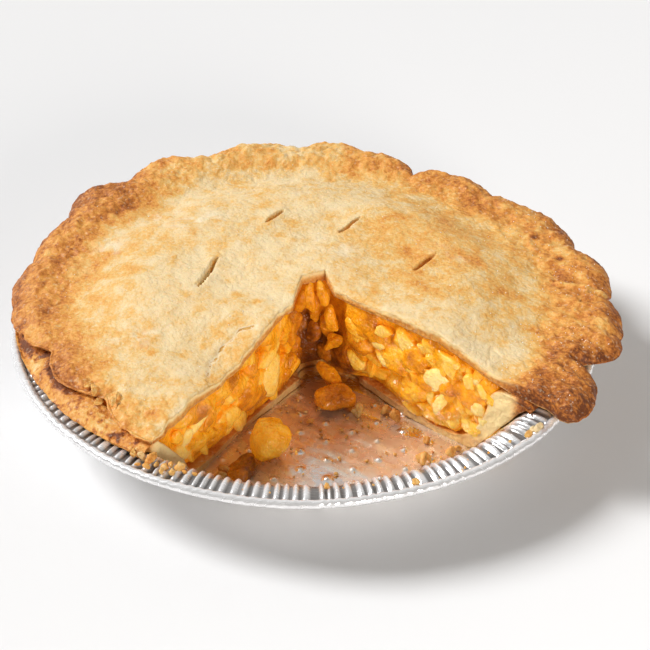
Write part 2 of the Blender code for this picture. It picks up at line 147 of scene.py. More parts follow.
# Vent slits: middle, length, azimuth
SLITS = [
    ((-12.9, 46.7), 13.0, 54.0),
    ((-40.2, 4.7), 23.5, 71.0),
    ((19.0, 39.5), 16.0, 53.0),
    ((50.0, 11.4), 16.0, 52.0),
]
SLIT_WIDTH = 2.0
SLIT_DEPTH = 3.4
LIP_HEIGHT = 0.8

# Crack across the strip of crust that sags beside the left cut: x and y of its bends
CRACK = [
    (-39.1, -58.3), (-38.9, -53.9), (-37.2, -46.4), (-34.6, -40.3), (-33.0, -37.8), (-29.5, -34.2),
    (-25.5, -31.4), (-19.9, -29.8),
]

# How strongly the rim is browned: azimuth, strength from 0 to 1. The high values at the right end are
# partly browning and partly painted shade on lobes that face away from the key light
BROWNING = [
    (-38.0, 0.80), (-20.0, 0.95), (5.0, 0.90), (25.0, 0.75), (50.0, 0.55), (75.0, 0.55), (98.0, 0.52),
    (118.0, 0.70), (138.0, 1.00), (158.0, 0.95), (175.0, 0.80), (195.0, 0.62), (214.0, 0.42), (233.0, 0.30),
]

# Uneven browning everywhere on the lid: strength, size, octaves and shift of each layer of noise
MOTTLES = [(0.08, 30.0, 3, 40.0), (0.07, 9.0, 3, 33.0), (0.09, 4.0, 2, 35.0), (0.10, 5.5, 2, 7.0)]

# Browner patches beside the rim: x, y, spread, strength
BROWN_PATCHES = [
    (-90.7, -53.1, 12.0, 0.07), (-97.7, -41.7, 9.0, 0.05), (-81.7, -67.9, 7.0, 0.12),
    (-66.0, -86.0, 10.0, 0.14), (-59.5, -76.0, 5.0, 0.16), (-84.0, 88.0, 14.0, 0.10),
    (101.0, -74.0, 15.0, 0.16),
]

# Small burnt spots on the rim: x and y
BURNT_SPOTS = [(98.9, 42.3), (108.4, 25.6)]

# Raised cracked ridge that runs inwards from the notch between two lobes on the right
RIDGE = ((126.5, 1.5), (106.0, 7.0))

# Streaks of flour left on the crust: x, y, length, width, azimuth
FLOUR = [
    (-84.0, 30.0, 20.0, 5.0, 60.0), (-66.0, -36.0, 26.0, 4.0, 8.0), (-46.0, 45.0, 26.0, 7.0, 12.0),
    (-61.0, 57.0, 16.0, 5.0, 30.0), (60.0, 18.0, 16.0, 3.0, -30.0), (12.0, 22.0, 20.0, 6.0, -40.0),
]


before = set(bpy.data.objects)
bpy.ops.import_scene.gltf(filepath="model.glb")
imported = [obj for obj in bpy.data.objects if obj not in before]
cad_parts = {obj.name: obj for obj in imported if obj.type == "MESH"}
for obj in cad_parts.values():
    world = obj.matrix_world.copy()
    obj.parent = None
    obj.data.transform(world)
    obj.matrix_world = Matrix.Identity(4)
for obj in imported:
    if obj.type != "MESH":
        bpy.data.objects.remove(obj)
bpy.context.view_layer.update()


def smoothstep(low, high, value):
    """0 below low, 1 above high, and the cubic 3t2 - 2t3 between them."""
    t = np.clip((value - low) / (high - low), 0.0, 1.0)
    return t * t * (3.0 - 2.0 * t)


def band(value, rise, fall):
    """1 between two places: it rises smoothly over the first stretch and falls over the second."""
    return smoothstep(*rise, value) * (1.0 - smoothstep(*fall, value))


def bell(value, middle, spread):
    """A smooth hump: e to the minus square of the distance from the middle over the spread."""
    return np.exp(-(((value - middle) / spread) ** 2))


LATTICE = np.random.default_rng(7).uniform(-1.0, 1.0, (32, 32, 32))


def noise(points, size, shift=0.0):
    """Smooth noise from -1 to 1: seeded values on a cubic lattice, blended by a cubic between cells."""
    at = np.asarray(points) / size + shift
    cell = np.floor(at).astype(int)
    share = at - cell
    share = share * share * (3.0 - 2.0 * share)
    total = 0.0
    for corner in np.ndindex(2, 2, 2):
        weight = np.where(corner, share, 1.0 - share).prod(axis=-1)
        i, j, k = np.moveaxis((cell + corner) % 32, -1, 0)
        total = total + weight * LATTICE[i, j, k]
    return total


def rough(points, size, octaves=3, shift=0.0):
    """Noise summed over octaves, each of half the size and half the height of the one before."""
    layers = [noise(points, size / 2**n, shift + 11.3 * n) / 2**n for n in range(octaves)]
    return sum(layers)


def pits(points, size, depth, shift=0.0):
    """Sparse round hollows: the noise's deepest parts only."""
    return depth * smoothstep(0.35, 0.75, noise(points, size, shift))


def turned(azimuth):
    """The same azimuth, counted from the right cut round to the left cut."""
    return (np.asarray(azimuth) + 60.0) % 360.0 - 60.0


def rho_at_radius(theta, radius):
    """Distance from the cuts' corner, in direction theta, to a circle about the tin's axis."""
    along = CORNER[0] * np.cos(np.radians(theta)) + CORNER[1] * np.sin(np.radians(theta))
    return -along + np.sqrt(along**2 + np.asarray(radius) ** 2 - CORNER @ CORNER)


def place(theta, rho, z):
    """Points at distance rho from the cuts' corner in direction theta, at height z."""
    theta, rho, z = np.broadcast_arrays(theta, rho, z)
    x = CORNER[0] + rho * np.cos(np.radians(theta))
    y = CORNER[1] + rho * np.sin(np.radians(theta))
    return np.stack([x, y, z], axis=-1)


def on_circle(azimuth, radius):
    """Level points at a radius about the tin's axis."""
    turn = np.radians(azimuth)
    return np.stack([radius * np.cos(turn), radius * np.sin(turn), 0.0 * turn], axis=-1)


def radius_and_azimuth(points):
    """Distance from the tin's axis, and azimuth counted from the right cut to the left cut."""
    azimuth = np.degrees(np.arctan2(points[..., 1], points[..., 0]))
    return np.hypot(points[..., 0], points[..., 1]), turned(azimuth)


def lobe_reach(azimuth):
    """Reach of every lobe of the top crust: a parabola about the lobe's own tip."""
    return [tip - LOBE_FALL * ((azimuth - at) / half) ** 2 for at, tip, half, _ in LOBES]


def edge_radius(azimuth):
    """Outline of the top crust: the furthest reach of its lobes."""
    return np.max(lobe_reach(turned(azimuth)), axis=0)


def crest_lift(azimuth):
    """How far each lobe's crest stands above the rim, as a smooth hump over its own width."""
    azimuth = turned(azimuth)
    return sum(lift * bell(azimuth, at, 0.6 * half) for at, _, half, lift in LOBES)


def edge_rho(theta):
    """Distance from the cuts' corner to the top crust's outline, settled by repeated steps."""
    rho = rho_at_radius(theta, BEAD_R)
    for _ in range(8):
        _, azimuth = radius_and_azimuth(place(theta, rho, 0.0))
        rho = rho_at_radius(theta, edge_radius(azimuth))
    return rho


def corner_rho(theta):
    """Distance from the cuts' corner to its blunt walls: the nearest of the straight walls."""
    reach = [distance / np.maximum(np.cos(np.radians(theta - at)), 0.1) for at, distance in CORNER_WALLS]
    return np.min(reach, axis=0)


def seat_height(azimuth):
    """Height of the bottom crust's rim, on which the top crust's rim rests."""
    opening = smoothstep(OPEN_RIM[0] - 10, OPEN_RIM[0] + 4, azimuth)
    closing = smoothstep(OPEN_RIM[1] - 6, OPEN_RIM[1] + 10, azimuth)
    return SEAT_Z + (OPEN_SEAT_Z - SEAT_Z) * opening + (LEFT_END_SEAT_Z - OPEN_SEAT_Z) * closing


def droop(radius, azimuth):
    """How far the crust hangs down past the rim: less at the right, where it stands out stiffly."""
    slope = RIGHT_DROOP + (DROOP - RIGHT_DROOP) * smoothstep(*DROOP_BEGINS, azimuth)
    return slope * np.maximum(radius - DROOP_R, 0.0)


def along_and_across(points, spot, azimuth):
    """Distances in plan from a spot: along an azimuth, and square to it."""
    c, s = np.cos(np.radians(azimuth)), np.sin(np.radians(azimuth))
    dx, dy = points[..., 0] - spot[0], points[..., 1] - spot[1]
    return dx * c + dy * s, dy * c - dx * s


def beside_left_cut(points):
    """Distances along the left cut from the corner, and across it into the pie."""
    along, across = along_and_across(points, CORNER, LEFT_CUT)
    return along, -across


def slump(points):
    """How far the crust has sunk along the left cut: a bell across the cut and one along it."""
    along, across = beside_left_cut(points)
    return SLUMP_DEPTH * bell(along, SLUMP_AT, SLUMP_LENGTH) * bell(across, 0.0, SLUMP_WIDTH)


def dome(points):
    """Smooth height of the top crust: flat in the middle, then falling to the rim."""
    radius, azimuth = radius_and_azimuth(points)
    rim = smoothstep(SHOULDER_R, VALLEY_R, radius)
    height = PEAK_Z + (RIM_Z - PEAK_Z) * rim - droop(radius, azimuth)
    lowered = (LEFT_END_SEAT_Z + CRUST - RIM_Z) * smoothstep(*LEFT_END_FALLS, azimuth) * rim
    back = smoothstep(*BACK_RISES, azimuth) - smoothstep(*BACK_FALLS, azimuth)
    lifted = BACK_LIFT * back * smoothstep(*BACK_R, radius)
    return height - slump(points) + lowered + lifted


def waves(points):
    """Gentle unevenness of the top: the sum of a few long sine waves."""
    x, y = points[..., 0], points[..., 1]
    return sum(height * np.sin(x / along + y / up + phase) for height, along, up, phase in WAVES)


def crust_top(points):
    """The dome with gentle waves, the lobes' crests, and its edge rounded down."""
    radius, azimuth = radius_and_azimuth(points)
    inset = np.clip(edge_radius(azimuth) - radius, 0.0, None)
    crest = crest_lift(azimuth) * bell(inset, CREST_INSET, CREST_WIDTH)
    rounding = 1.0 - np.sqrt(1.0 - np.clip(1.0 - inset / EDGE_ROUND, 0.0, 1.0) ** 2)
    gentle = waves(points) * smoothstep(*WAVES_END, radius)
    return dome(points) + gentle + crest - EDGE_DROP * rounding


def crust_underside(points):
    """The dome less the crust's thickness, settling on the bottom crust's rim further out."""
    radius, azimuth = radius_and_azimuth(points)
    seat = seat_height(azimuth) - droop(radius, azimuth)
    on_rim = smoothstep(*SETTLES_R, radius)
    return (dome(points) - CRUST) * (1.0 - on_rim) + seat * on_rim


def pulled_back(theta, rho, right, left):
    """Azimuths of the block's columns, with each cut face pulled into the food by a distance.

    The turn at a cut is the angle whose tangent is distance over rho. It dies out further round.
    """
    near_right = np.clip(1.0 - (theta - RIGHT_CUT) / PULL_SPREAD, 0.0, 1.0)
    near_left = np.clip(1.0 - (LEFT_CUT - theta) / PULL_SPREAD, 0.0, 1.0)
    right_turn = np.degrees(np.arctan2(right, rho)) * near_right
    left_turn = np.degrees(np.arctan2(left, rho)) * near_left
    return theta + right_turn - left_turn


def base_recess(rho):
    """How far the food has broken back from the right cut, low down near the corner."""
    return RECESS * bell(rho, RECESS_AT, RECESS_SPREAD)


def rim_reach(azimuth):
    """Outer radius of the bottom crust's rolled rim: short at the right, full at the left."""
    swell = ROPE_SWELL * bell(azimuth, ROPE_SWELL_AT, ROPE_SWELL_SPREAD)
    end = ROPE_END * smoothstep(*ROPE_ENDS, azimuth)
    return ROPE_R + swell - end - ROPE_TUCK * (1.0 - smoothstep(*ROPE_TUCK_ENDS, azimuth))


def end_thickening(azimuth):
    """Extra thickness of the raw crust's wall beside the right cut: a bell round the cut."""
    return THICK_END * bell(azimuth, RIGHT_CUT, THICK_END_SPREAD)


def cut_direction(cut):
    """Unit vector along a cut from the corner, and the one that points into the missing slice."""
    angle = np.radians(cut)
    outward = -1.0 if cut == RIGHT_CUT else 1.0
    along = np.array([np.cos(angle), np.sin(angle), 0.0])
    return along, outward * np.array([-np.sin(angle), np.cos(angle), 0.0])


# Meshes

def two_triangles(a, b, c, d):
    """Triangles of four-cornered faces whose corners are given as four arrays of equal shape."""
    a, b, c, d = (np.ravel(corner) for corner in (a, b, c, d))
    return np.concatenate([np.stack([a, b, c], -1), np.stack([a, c, d], -1)])


def grid_triangles(index, turn=False):
    """Triangles of a grid of point numbers, counterclockwise from the last axis to the first."""
    a, b, c, d = index[:-1, :-1], index[:-1, 1:], index[1:, 1:], index[1:, :-1]
    return two_triangles(d, c, b, a) if turn else two_triangles(a, b, c, d)


def stitch(fine, coarse):
    """Triangles between a row of points and a row with a whole number of times fewer steps."""
    fine, coarse = np.asarray(fine), np.asarray(coarse)
    ratio = (len(fine) - 1) // (len(coarse) - 1)
    here, after = coarse[:-1], coarse[1:]
    start = np.arange(len(here)) * ratio
    half = ratio // 2
    fans = [np.stack([here, fine[start + half], after], -1)]
    for step in range(ratio):
        apex = here if step < half else after
        fans.append(np.stack([apex, fine[start + step], fine[start + step + 1]], -1))
    return np.concatenate(fans)


def make_piece(name, points, triangles, material, masks=None, replaced=()):
    """A smooth mesh object from points in millimetres, with one value per point for each mask."""
    points = np.asarray(points, dtype=np.float32) * MM
    triangles = np.asarray(triangles, dtype=np.int32)
    mesh = bpy.data.meshes.new(name)
    mesh.vertices.add(len(points))
    mesh.vertices.foreach_set("co", points.ravel())
    mesh.loops.add(triangles.size)
    mesh.loops.foreach_set("vertex_index", triangles.ravel())
    mesh.polygons.add(len(triangles))
    mesh.polygons.foreach_set("loop_start", np.arange(0, triangles.size, 3, dtype=np.int32))
    mesh.update(calc_edges=True)
    mesh.shade_smooth()
    for mask, values in (masks or {}).items():
        layer = mesh.attributes.new(mask, "FLOAT", "POINT")
        layer.data.foreach_set("value", np.asarray(values, dtype=np.float32).ravel())
    mesh.materials.append(material)
    piece = bpy.data.objects.new(name, mesh)
    bpy.context.scene.collection.objects.link(piece)
    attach(piece, "root")
    if replaced:
        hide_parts(*replaced)
    return piece


class Points:
    """Points collected part by part, with their masks, before they become one mesh."""

    def __init__(self, *masks):
        self.parts, self.count = [], 0
        self.masks = {mask: [] for mask in masks}

    def add(self, points, **values):
        """Adds an array of points and gives back their numbers in the same layout."""
        points = np.asarray(points)
        index = self.count + np.arange(points[..., 0].size).reshape(points.shape[:-1])
        self.parts.append(points.reshape(-1, 3))
        self.count += index.size
        for mask, collected in self.masks.items():
            collected.append(np.broadcast_to(values.get(mask, 0.0), points.shape[:-1]).ravel())
        return index

    def all(self):
        """All points as one array, and all masks as one array each."""
        return np.concatenate(self.parts), {m: np.concatenate(v) for m, v in self.masks.items()}


def block_surface(block):
    """Triangles of the six sides of a block of points [round, out, up], and the points in use."""
    around, out, up, _ = block.shape
    index = np.arange(around * out * up).reshape(around, out, up)
    sides = [
        (index[:, :, -1], False), (index[:, :, 0], True), (index[:, -1, :], True),
        (index[:, 0, :], False), (index[-1, :, :], False), (index[0, :, :], True),
    ]
    triangles = np.concatenate([grid_triangles(side, turn) for side, turn in sides])
    used, triangles = np.unique(triangles, return_inverse=True)
    return used, triangles.reshape(-1, 3)


# Top crust

INNER_COLUMNS = 192
CUT_LEVELS = 8
LID_LAYERS = 5.0

# Rows of the lid's face: three stretches of its dome, each finer than the last, and its edge
DOME_ROWS = (37, 44, 24)
EDGE_ROWS = 40


def lid_rows():
    """For each row of the lid, outwards: share of the way to the valley, share from there to the
    edge, and how many times finer than the innermost rows it is."""
    first, second, third = DOME_ROWS
    inner = np.concatenate([
        np.linspace(0.0, 0.4, first),
        np.linspace(0.4, 0.8, second + 1)[1:],
        np.linspace(0.8, 1.0, third + 1)[1:],
        np.ones(EDGE_ROWS),
    ])
    on_edge = np.linspace(0.0, 1.0, EDGE_ROWS + 1)[1:] ** 0.9
    outer = np.concatenate([np.zeros(sum(DOME_ROWS)), on_edge])
    finer = np.repeat([1, 2, 4], [first, second, third + EDGE_ROWS])
    return inner, outer, finer


def edge_crags(theta):
    """Small crinkles of the crust's outline, as a distance outwards, and one deep notch."""
    ring = on_circle(theta, 120.0)
    crinkles = 0.5 * noise(ring, 9.0, 3.1) + 0.35 * noise(ring, 3.5, 5.2) + 0.2 * noise(ring, 1.6, 8.0)
    return crinkles - 3.0 * bell(turned(theta), 0.4, 1.5)


def crumbled_right(rho):
    """How far the lid has crumbled back at the right cut: a bite in the rim, and a rounded tip."""
    return 2.0 * bell(rho, 107.0, 8.0) + 3.5 * smoothstep(120.0, 131.0, rho)


def lid_points(theta, inner, outer):
    """Level points of the lid at directions theta, at shares of the way to the valley and the edge."""
    start, middle = corner_rho(theta), rho_at_radius(theta, 94.0)
    edge = edge_rho(theta) + edge_crags(theta)
    rho = start + (middle - start) * inner + (edge - middle) * outer
    points = place(theta, rho, 0.0)
    for cut, away in ((RIGHT_CUT, theta - RIGHT_CUT), (LEFT_CUT, LEFT_CUT - theta)):
        distance = rho * np.radians(np.clip(away, 0.0, 90.0))
        line = np.stack([rho, np.zeros_like(rho), np.full_like(rho, cut)], -1)
        fray = 0.9 * noise(line, 6.0, 2.0) + 0.5 * noise(line, 2.2, 4.0)
        _, outward = cut_direction(cut)
        missing = crumbled_right(rho) if cut == RIGHT_CUT else 0.0
        shift = fray * bell(distance, 0.0, 3.0) - missing * bell(distance, 0.0, 10.0)
        points = points + shift[..., None] * outward
    return points


def segment_distance(points, start, end):
    """Distance in plan from each point to a straight stretch, and on which side of it the point is."""
    start, end = np.array(start), np.array(end)
    direction = end - start
    offset = points[..., :2] - start
    share = np.clip(offset @ direction / (direction @ direction), 0.0, 1.0)
    gap = offset - share[..., None] * direction
    side = direction[0] * offset[..., 1] - direction[1] * offset[..., 0]
    return np.hypot(gap[..., 0], gap[..., 1]), np.sign(side)


def crack_distance(points):
    """Signed distance to the crack beside the left cut, negative on the side of the cut."""
    wobble = np.stack([noise(points, 5.0, 1.0), noise(points, 5.0, 9.0)], -1) * 1.2
    shifted = points.copy()
    shifted[..., :2] += wobble
    runs = [segment_distance(shifted, a, b) for a, b in zip(CRACK, CRACK[1:])]
    distance = np.stack([run[0] for run in runs])
    side = np.stack([run[1] for run in runs])
    nearest = distance.argmin(axis=0)[None]
    return (np.take_along_axis(distance, nearest, 0) * np.take_along_axis(side, nearest, 0))[0]


def slit_shapes(points):
    """For every vent slit together: how open it is, from 0 to 1, and the lip that stands round it."""
    opening, lip = np.zeros(points.shape[:-1]), np.zeros(points.shape[:-1])
    for middle, length, azimuth in SLITS:
        along, across = along_and_across(points, middle, azimuth)
        half_width = 0.5 * SLIT_WIDTH * np.sqrt(np.clip(1.0 - (2.0 * along / length) ** 2, 0.0, 1.0))
        inside = half_width - np.abs(across)
        opening = np.maximum(opening, smoothstep(-0.3, 0.9, inside) * (half_width > 0.0))
        near = np.exp(-((across / 4.0) ** 2) - (along / (0.62 * length)) ** 4)
        lip = np.maximum(lip, near)
    return opening, lip


def rim_share(points):
    """0 on the dome and 1 on the rim, with an uneven border between them."""
    radius, _ = radius_and_azimuth(points)
    wander = 5.0 * noise(points, 22.0, 6.0) + 2.5 * noise(points, 8.0, 2.0)
    return smoothstep(90.0, 106.0, radius + wander)


def lobe_creases(points):
    """Furrows that run inwards from the notches between lobes, where two lobes' parabolas meet."""
    radius, azimuth = radius_and_azimuth(points)
    reach = np.sort(lobe_reach(azimuth), axis=0)
    return bell(reach[-1] - reach[-2], 0.0, 2.2) * smoothstep(98.0, 118.0, radius)


def ridge_distance(points):
    """Distance in plan to the middle of the raised ridge."""
    return segment_distance(points, *RIDGE)[0]


def crust_relief(points):
    """Blisters, crumbly grain, rim lumps, ridge, creases, fine cracks and pits, as a height."""
    rim = rim_share(points)
    blisters = 0.45 * rough(points, 15.0, 2, 4.0) + 0.30 * rough(points, 5.5, 2, 7.0)
    grain = 0.38 * noise(points, 1.9, 1.0)
    lumps = 0.75 * rough(points, 8.0, 2, 12.0) + 0.60 * rough(points, 3.0, 2, 14.0)
    away = ridge_distance(points)
    ridge = bell(away, 0.0, 1.3) - 0.6 * bell(away, 2.6, 1.2)
    veins = smoothstep(0.93, 1.0, 1.0 - np.abs(rough(points, 14.0, 3, 20.0)))
    cracks = veins * smoothstep(0.1, 0.5, noise(points, 26.0, 21.0))
    height = blisters * (1.0 - 0.3 * rim) + (grain + lumps) * rim + 0.9 * ridge
    return height - 0.4 * cracks - 0.6 * lobe_creases(points) - pits(points, 3.0, 0.35, 30.0) * rim


def sagging_strip(points, gap):
    """The strip of crust between the crack and the left cut, 0 to 1."""
    along, _ = beside_left_cut(points)
    return smoothstep(0.5, -0.7, gap) * band(along, (36.0, 46.0), (66.0, 80.0))


def cut_edges(points):
    """1 at the lid's two cut edges, and less as a bell within a millimetre or two of them."""
    theta = np.degrees(np.arctan2(points[..., 1] - CORNER[1], points[..., 0] - CORNER[0]))
    total = 0.0
    for cut in (RIGHT_CUT, LEFT_CUT):
        away = np.abs((theta - cut + 180.0) % 360.0 - 180.0)
        total = total + bell(np.radians(away) * along_cut(points), 0.0, 0.9)
    return total


def lid_height(points):
    """Full height of the lid's face: form, relief, slits with their lips, the strip that sags along
    the crack, the crack's groove, and the rounded cut edges."""
    opening, lip = slit_shapes(points)
    along, _ = beside_left_cut(points)
    gap = crack_distance(points)
    groove = bell(gap, 0.0, 0.5) * band(along, (30.0, 38.0), (68.0, 74.0))
    raised = crust_top(points) + crust_relief(points) + LIP_HEIGHT * lip
    sunk = (SLIT_DEPTH + LIP_HEIGHT) * opening + 0.5 * sagging_strip(points, gap) + 0.45 * groove
    return raised - sunk - 0.5 * cut_edges(points)


def along_cut(points):
    """Distance in plan from the corner of the cuts."""
    return np.hypot(points[..., 0] - CORNER[0], points[..., 1] - CORNER[1])


def browning(points):
    """How brown the top crust is baked, 0 to 1: the rim, its lumps and blisters, and soft patches.
    The lobes beside the right cut are darker still, partly browning and partly painted shade where
    they face away from the key light.
    """
    radius, azimuth = radius_and_azimuth(points)
    x, y = points[..., 0], points[..., 1]
    strength = np.interp(azimuth, *zip(*BROWNING))
    rim = rim_share(points) * strength
    edge = 0.25 * bell(edge_radius(azimuth) - radius, 0.0, 5.0) * strength
    lumps = 0.12 * rough(points, 3.0, 3, 14.0) * rim
    mottled = sum(more * rough(points, size, count, shift) for more, size, count, shift in MOTTLES)
    back_right = 0.22 * smoothstep(0.0, 50.0, x) * smoothstep(-50.0, 0.0, y)
    far_sides = 0.14 * smoothstep(-40.0, -95.0, x) - 0.12 * smoothstep(70.0, 105.0, x)
    # Darker lobes beside the right cut: partly real browning, partly painted shade of their sides that face
    # away from the key light
    right_lobes_browned_and_shaded = 0.40 * smoothstep(-8.0, -24.0, azimuth) * smoothstep(92.0, 114.0, radius)
    total = 0.11 + 0.40 * rim + edge + lumps + mottled + back_right + far_sides + right_lobes_browned_and_shaded
    wander = 4.0 * noise(points, 7.0, 9.0)
    for at_x, at_y, wide, more in BROWN_PATCHES:
        total = total + more * bell(np.hypot(x - at_x, y - at_y) + wander, 0.0, wide)
    for at_x, at_y in BURNT_SPOTS:
        total = total + 0.8 * bell(np.hypot(x - at_x, y - at_y), 0.0, 1.7)
    return total - 0.10 * lobe_creases(points)


def flour_streaks(points):
    """Pale streaks where flour stayed on the crust, broken up by noise."""
    total = np.zeros(points.shape[:-1])
    for x, y, length, width, azimuth in FLOUR:
        along, across = along_and_across(points, (x, y), azimuth)
        total = np.maximum(total, np.exp(-((2.0 * along / length) ** 2) - (across / width) ** 2))
    return total * smoothstep(-0.2, 0.5, rough(points, 4.0, 3, 50.0))


def lid_masks(points):
    """Masks of the lid's face: baked colour, flour, and nearness to the crack beside the left cut.

    Slits and the sagging strip are browner, and the ridge is paler.
    """
    opening, _ = slit_shapes(points)
    along, _ = beside_left_cut(points)
    gap = crack_distance(points)
    crack = np.clip(1.0 - np.abs(gap) / 4.0, 0.0, 1.0) * band(along, (28.0, 34.0), (66.0, 72.0))
    ridge = bell(ridge_distance(points) + 0.8 * noise(points, 3.0, 8.0), 0.0, 1.2)
    baked = browning(points) + 0.42 * opening - 0.25 * ridge + 0.08 * sagging_strip(points, gap)
    return {"baked": np.clip(baked, 0.0, 1.0), "flour": flour_streaks(points), "crack": crack}


def unit_outward(points):
    """Level unit vectors pointing away from the tin's axis."""
    level = points * (1.0, 1.0, 0.0)
    return level / np.linalg.norm(level, axis=-1, keepdims=True)


def at_fine_steps(coarse, count):
    """Points of a row, read at more steps by straight lines between them."""
    share = np.linspace(0.0, len(coarse) - 1.0, count)
    low = np.minimum(share.astype(int), len(coarse) - 2)
    return coarse[low] + (coarse[low + 1] - coarse[low]) * (share - low)[:, None]


def layered_break(points, variety):
    """Relief of a broken or cut pastry edge: thin uneven layers that follow the crust.

    Edges with another number for their variety get other layers.
    """
    height = points[..., 2]
    line = np.stack([along_cut(points), np.full_like(height, variety), 4.0 * height], -1)
    return 0.45 * noise(line, 4.0, 3.0) + 0.3 * rough(points, 1.8, 2, 9.0)


def skirt_directions(side, roof):
    """Level unit vectors out of the lid's side: into the gap at the cuts and the corner, and away
    from the tin's axis at the outer edge."""
    from_corner = (roof - (*CORNER, 0.0)) * (1.0, 1.0, 0.0)
    side = side[:, None]
    return np.select(
        [side == 0, side == 1, side == 2],
        [cut_direction(RIGHT_CUT)[1][None], unit_outward(roof), cut_direction(LEFT_CUT)[1][None]],
        -from_corner / np.linalg.norm(from_corner, axis=1, keepdims=True),
    )


def skirt_masks(at_edge, roof, share):
    """Masks a share of the way down the lid's side: at the outer edge browned, and darker still
    where its bulge catches the light, as painted shade; at the cuts pale under the face, then
    browner further down and towards the rim."""
    radius, azimuth = radius_and_azimuth(roof)
    browned = np.interp(azimuth, *zip(*BROWNING)) * smoothstep(92.0, 108.0, radius)
    near_tip = smoothstep(94.0, 108.0, radius) * (azimuth < 0.0)
    raw = (1.0 - near_tip) * (1.0 - 0.95 * browned) * (1.0 - smoothstep(0.15, 0.55, share))
    at_cut = 0.28 + 0.30 * share + 0.40 * browned + 0.18 * near_tip
    # The outer edge is partly real browning and partly painted shade that dulls the light its bulge catches
    baked = np.where(at_edge, 0.50 + 0.38 * browned, at_cut)
    return {"baked": baked, "raw": np.where(at_edge, 0.0, raw)}


def lid_skirt(collected, rows, base, top, under):
    """The lid's side, once round: the right cut, the outer edge, the left cut and the corner.

    Each level goes a share of the way from the face down to the underside and is moved outwards:
    by layered relief at the cuts, and by half a sine wave where the outer edge is rounded.
    """
    right, left = np.array([row[0] for row in rows]), np.array([row[-1] for row in rows])
    fine = [right, rows[-1], left[::-1], rows[0][::-1]]
    coarse = [base[0], base[:, -1], base[-1, ::-1], base[::-1, 0]]
    below = [under[0], under[:, -1], under[-1, ::-1], under[::-1, 0]]
    loop = np.concatenate([side[:-1] for side in fine])
    floor = np.concatenate([at_fine_steps(low, len(side))[:-1] for side, low in zip(fine, below)])
    roof = top[loop]
    sizes = [len(side) - 1 for side in fine]
    side = np.repeat([0, 1, 2, 3], sizes)
    outward = skirt_directions(side, roof)
    at_edge = side == 1
    levels = [loop]
    for share in np.arange(1, CUT_LEVELS) / CUT_LEVELS:
        points = roof + (floor - roof) * share
        swell = np.sin(np.pi * share)
        relief = layered_break(points, LID_LAYERS) * swell**0.5
        bulge = (1.1 + 0.5 * noise(points, 3.0, 5.0)) * swell
        points = points + np.where(at_edge, bulge, relief)[:, None] * outward
        levels.append(collected.add(points, **skirt_masks(at_edge, roof, share)))
    closed = np.stack([np.append(level, level[0]) for level in levels])
    triangles = [grid_triangles(closed, True)]
    ends = np.cumsum([0, *sizes])
    for start, end, low in zip(ends, ends[1:], coarse):
        triangles.append(stitch(closed[-1, start:end + 1], low)[:, ::-1])
    return triangles


def make_top_crust(material):
    """The lid: a face of fine rows, a skirt round it with the two cut edges, and a coarser underside."""
    inner, outer, finer = lid_rows()
    collected = Points("baked", "flour", "raw", "crack")
    rows, triangles = [], []
    for a, b, scale in zip(inner, outer, finer):
        points = lid_points(np.linspace(RIGHT_CUT, LEFT_CUT, INNER_COLUMNS * scale + 1), a, b)
        thinnest = crust_underside(points) + 0.6 + 2.0 * smoothstep(0.8, 1.0, b)
        points[:, 2] = np.maximum(lid_height(points), thinnest)
        rows.append(collected.add(points, **lid_masks(points)))
    for row, after in zip(rows, rows[1:]):
        same = len(row) == len(after)
        triangles.append(grid_triangles(np.stack([row, after]), True) if same else stitch(after, row))
    top, _ = collected.all()

    below = np.linspace(RIGHT_CUT, LEFT_CUT, INNER_COLUMNS + 1)
    under = np.stack([lid_points(below, a, b) for a, b in zip(inner[::4], outer[::4])], axis=1)
    under[:, -1] -= 1.2 * unit_outward(under[:, -1])
    under[..., 2] = crust_underside(under)
    under[:, -2:, 2] += (0.4, 1.4)
    base = collected.add(under, baked=0.5, raw=0.3)
    triangles.append(grid_triangles(base, True))
    triangles += lid_skirt(collected, rows, base, top, under)
    points, masks = collected.all()
    triangles = np.concatenate(triangles)
    return make_piece("baked_lid", points, triangles, material, masks, ["top_crust"])


# Bottom crust

CRUST_COLUMNS = 380
CRUST_LEVELS = 10


def spline(control, at):
    """Points of a smooth curve through control points on the second axis, at fractional places.

    Each stretch is the cubic whose slope at a control point is half the step between its neighbours.
    """
    last = control.shape[1] - 1
    low = np.minimum(np.floor(at).astype(int), last - 1)
    t = (at - low)[None, :, None]
    p0, p1 = control[:, np.maximum(low - 1, 0)], control[:, low]
    p2, p3 = control[:, low + 1], control[:, np.minimum(low + 2, last)]
    slope1, slope2 = 0.5 * (p2 - p0), 0.5 * (p3 - p1)
    return (
        (2 * t**3 - 3 * t**2 + 1) * p1 + (t**3 - 2 * t**2 + t) * slope1
        + (3 * t**2 - 2 * t**3) * p2 + (t**3 - t**2) * slope2
    )


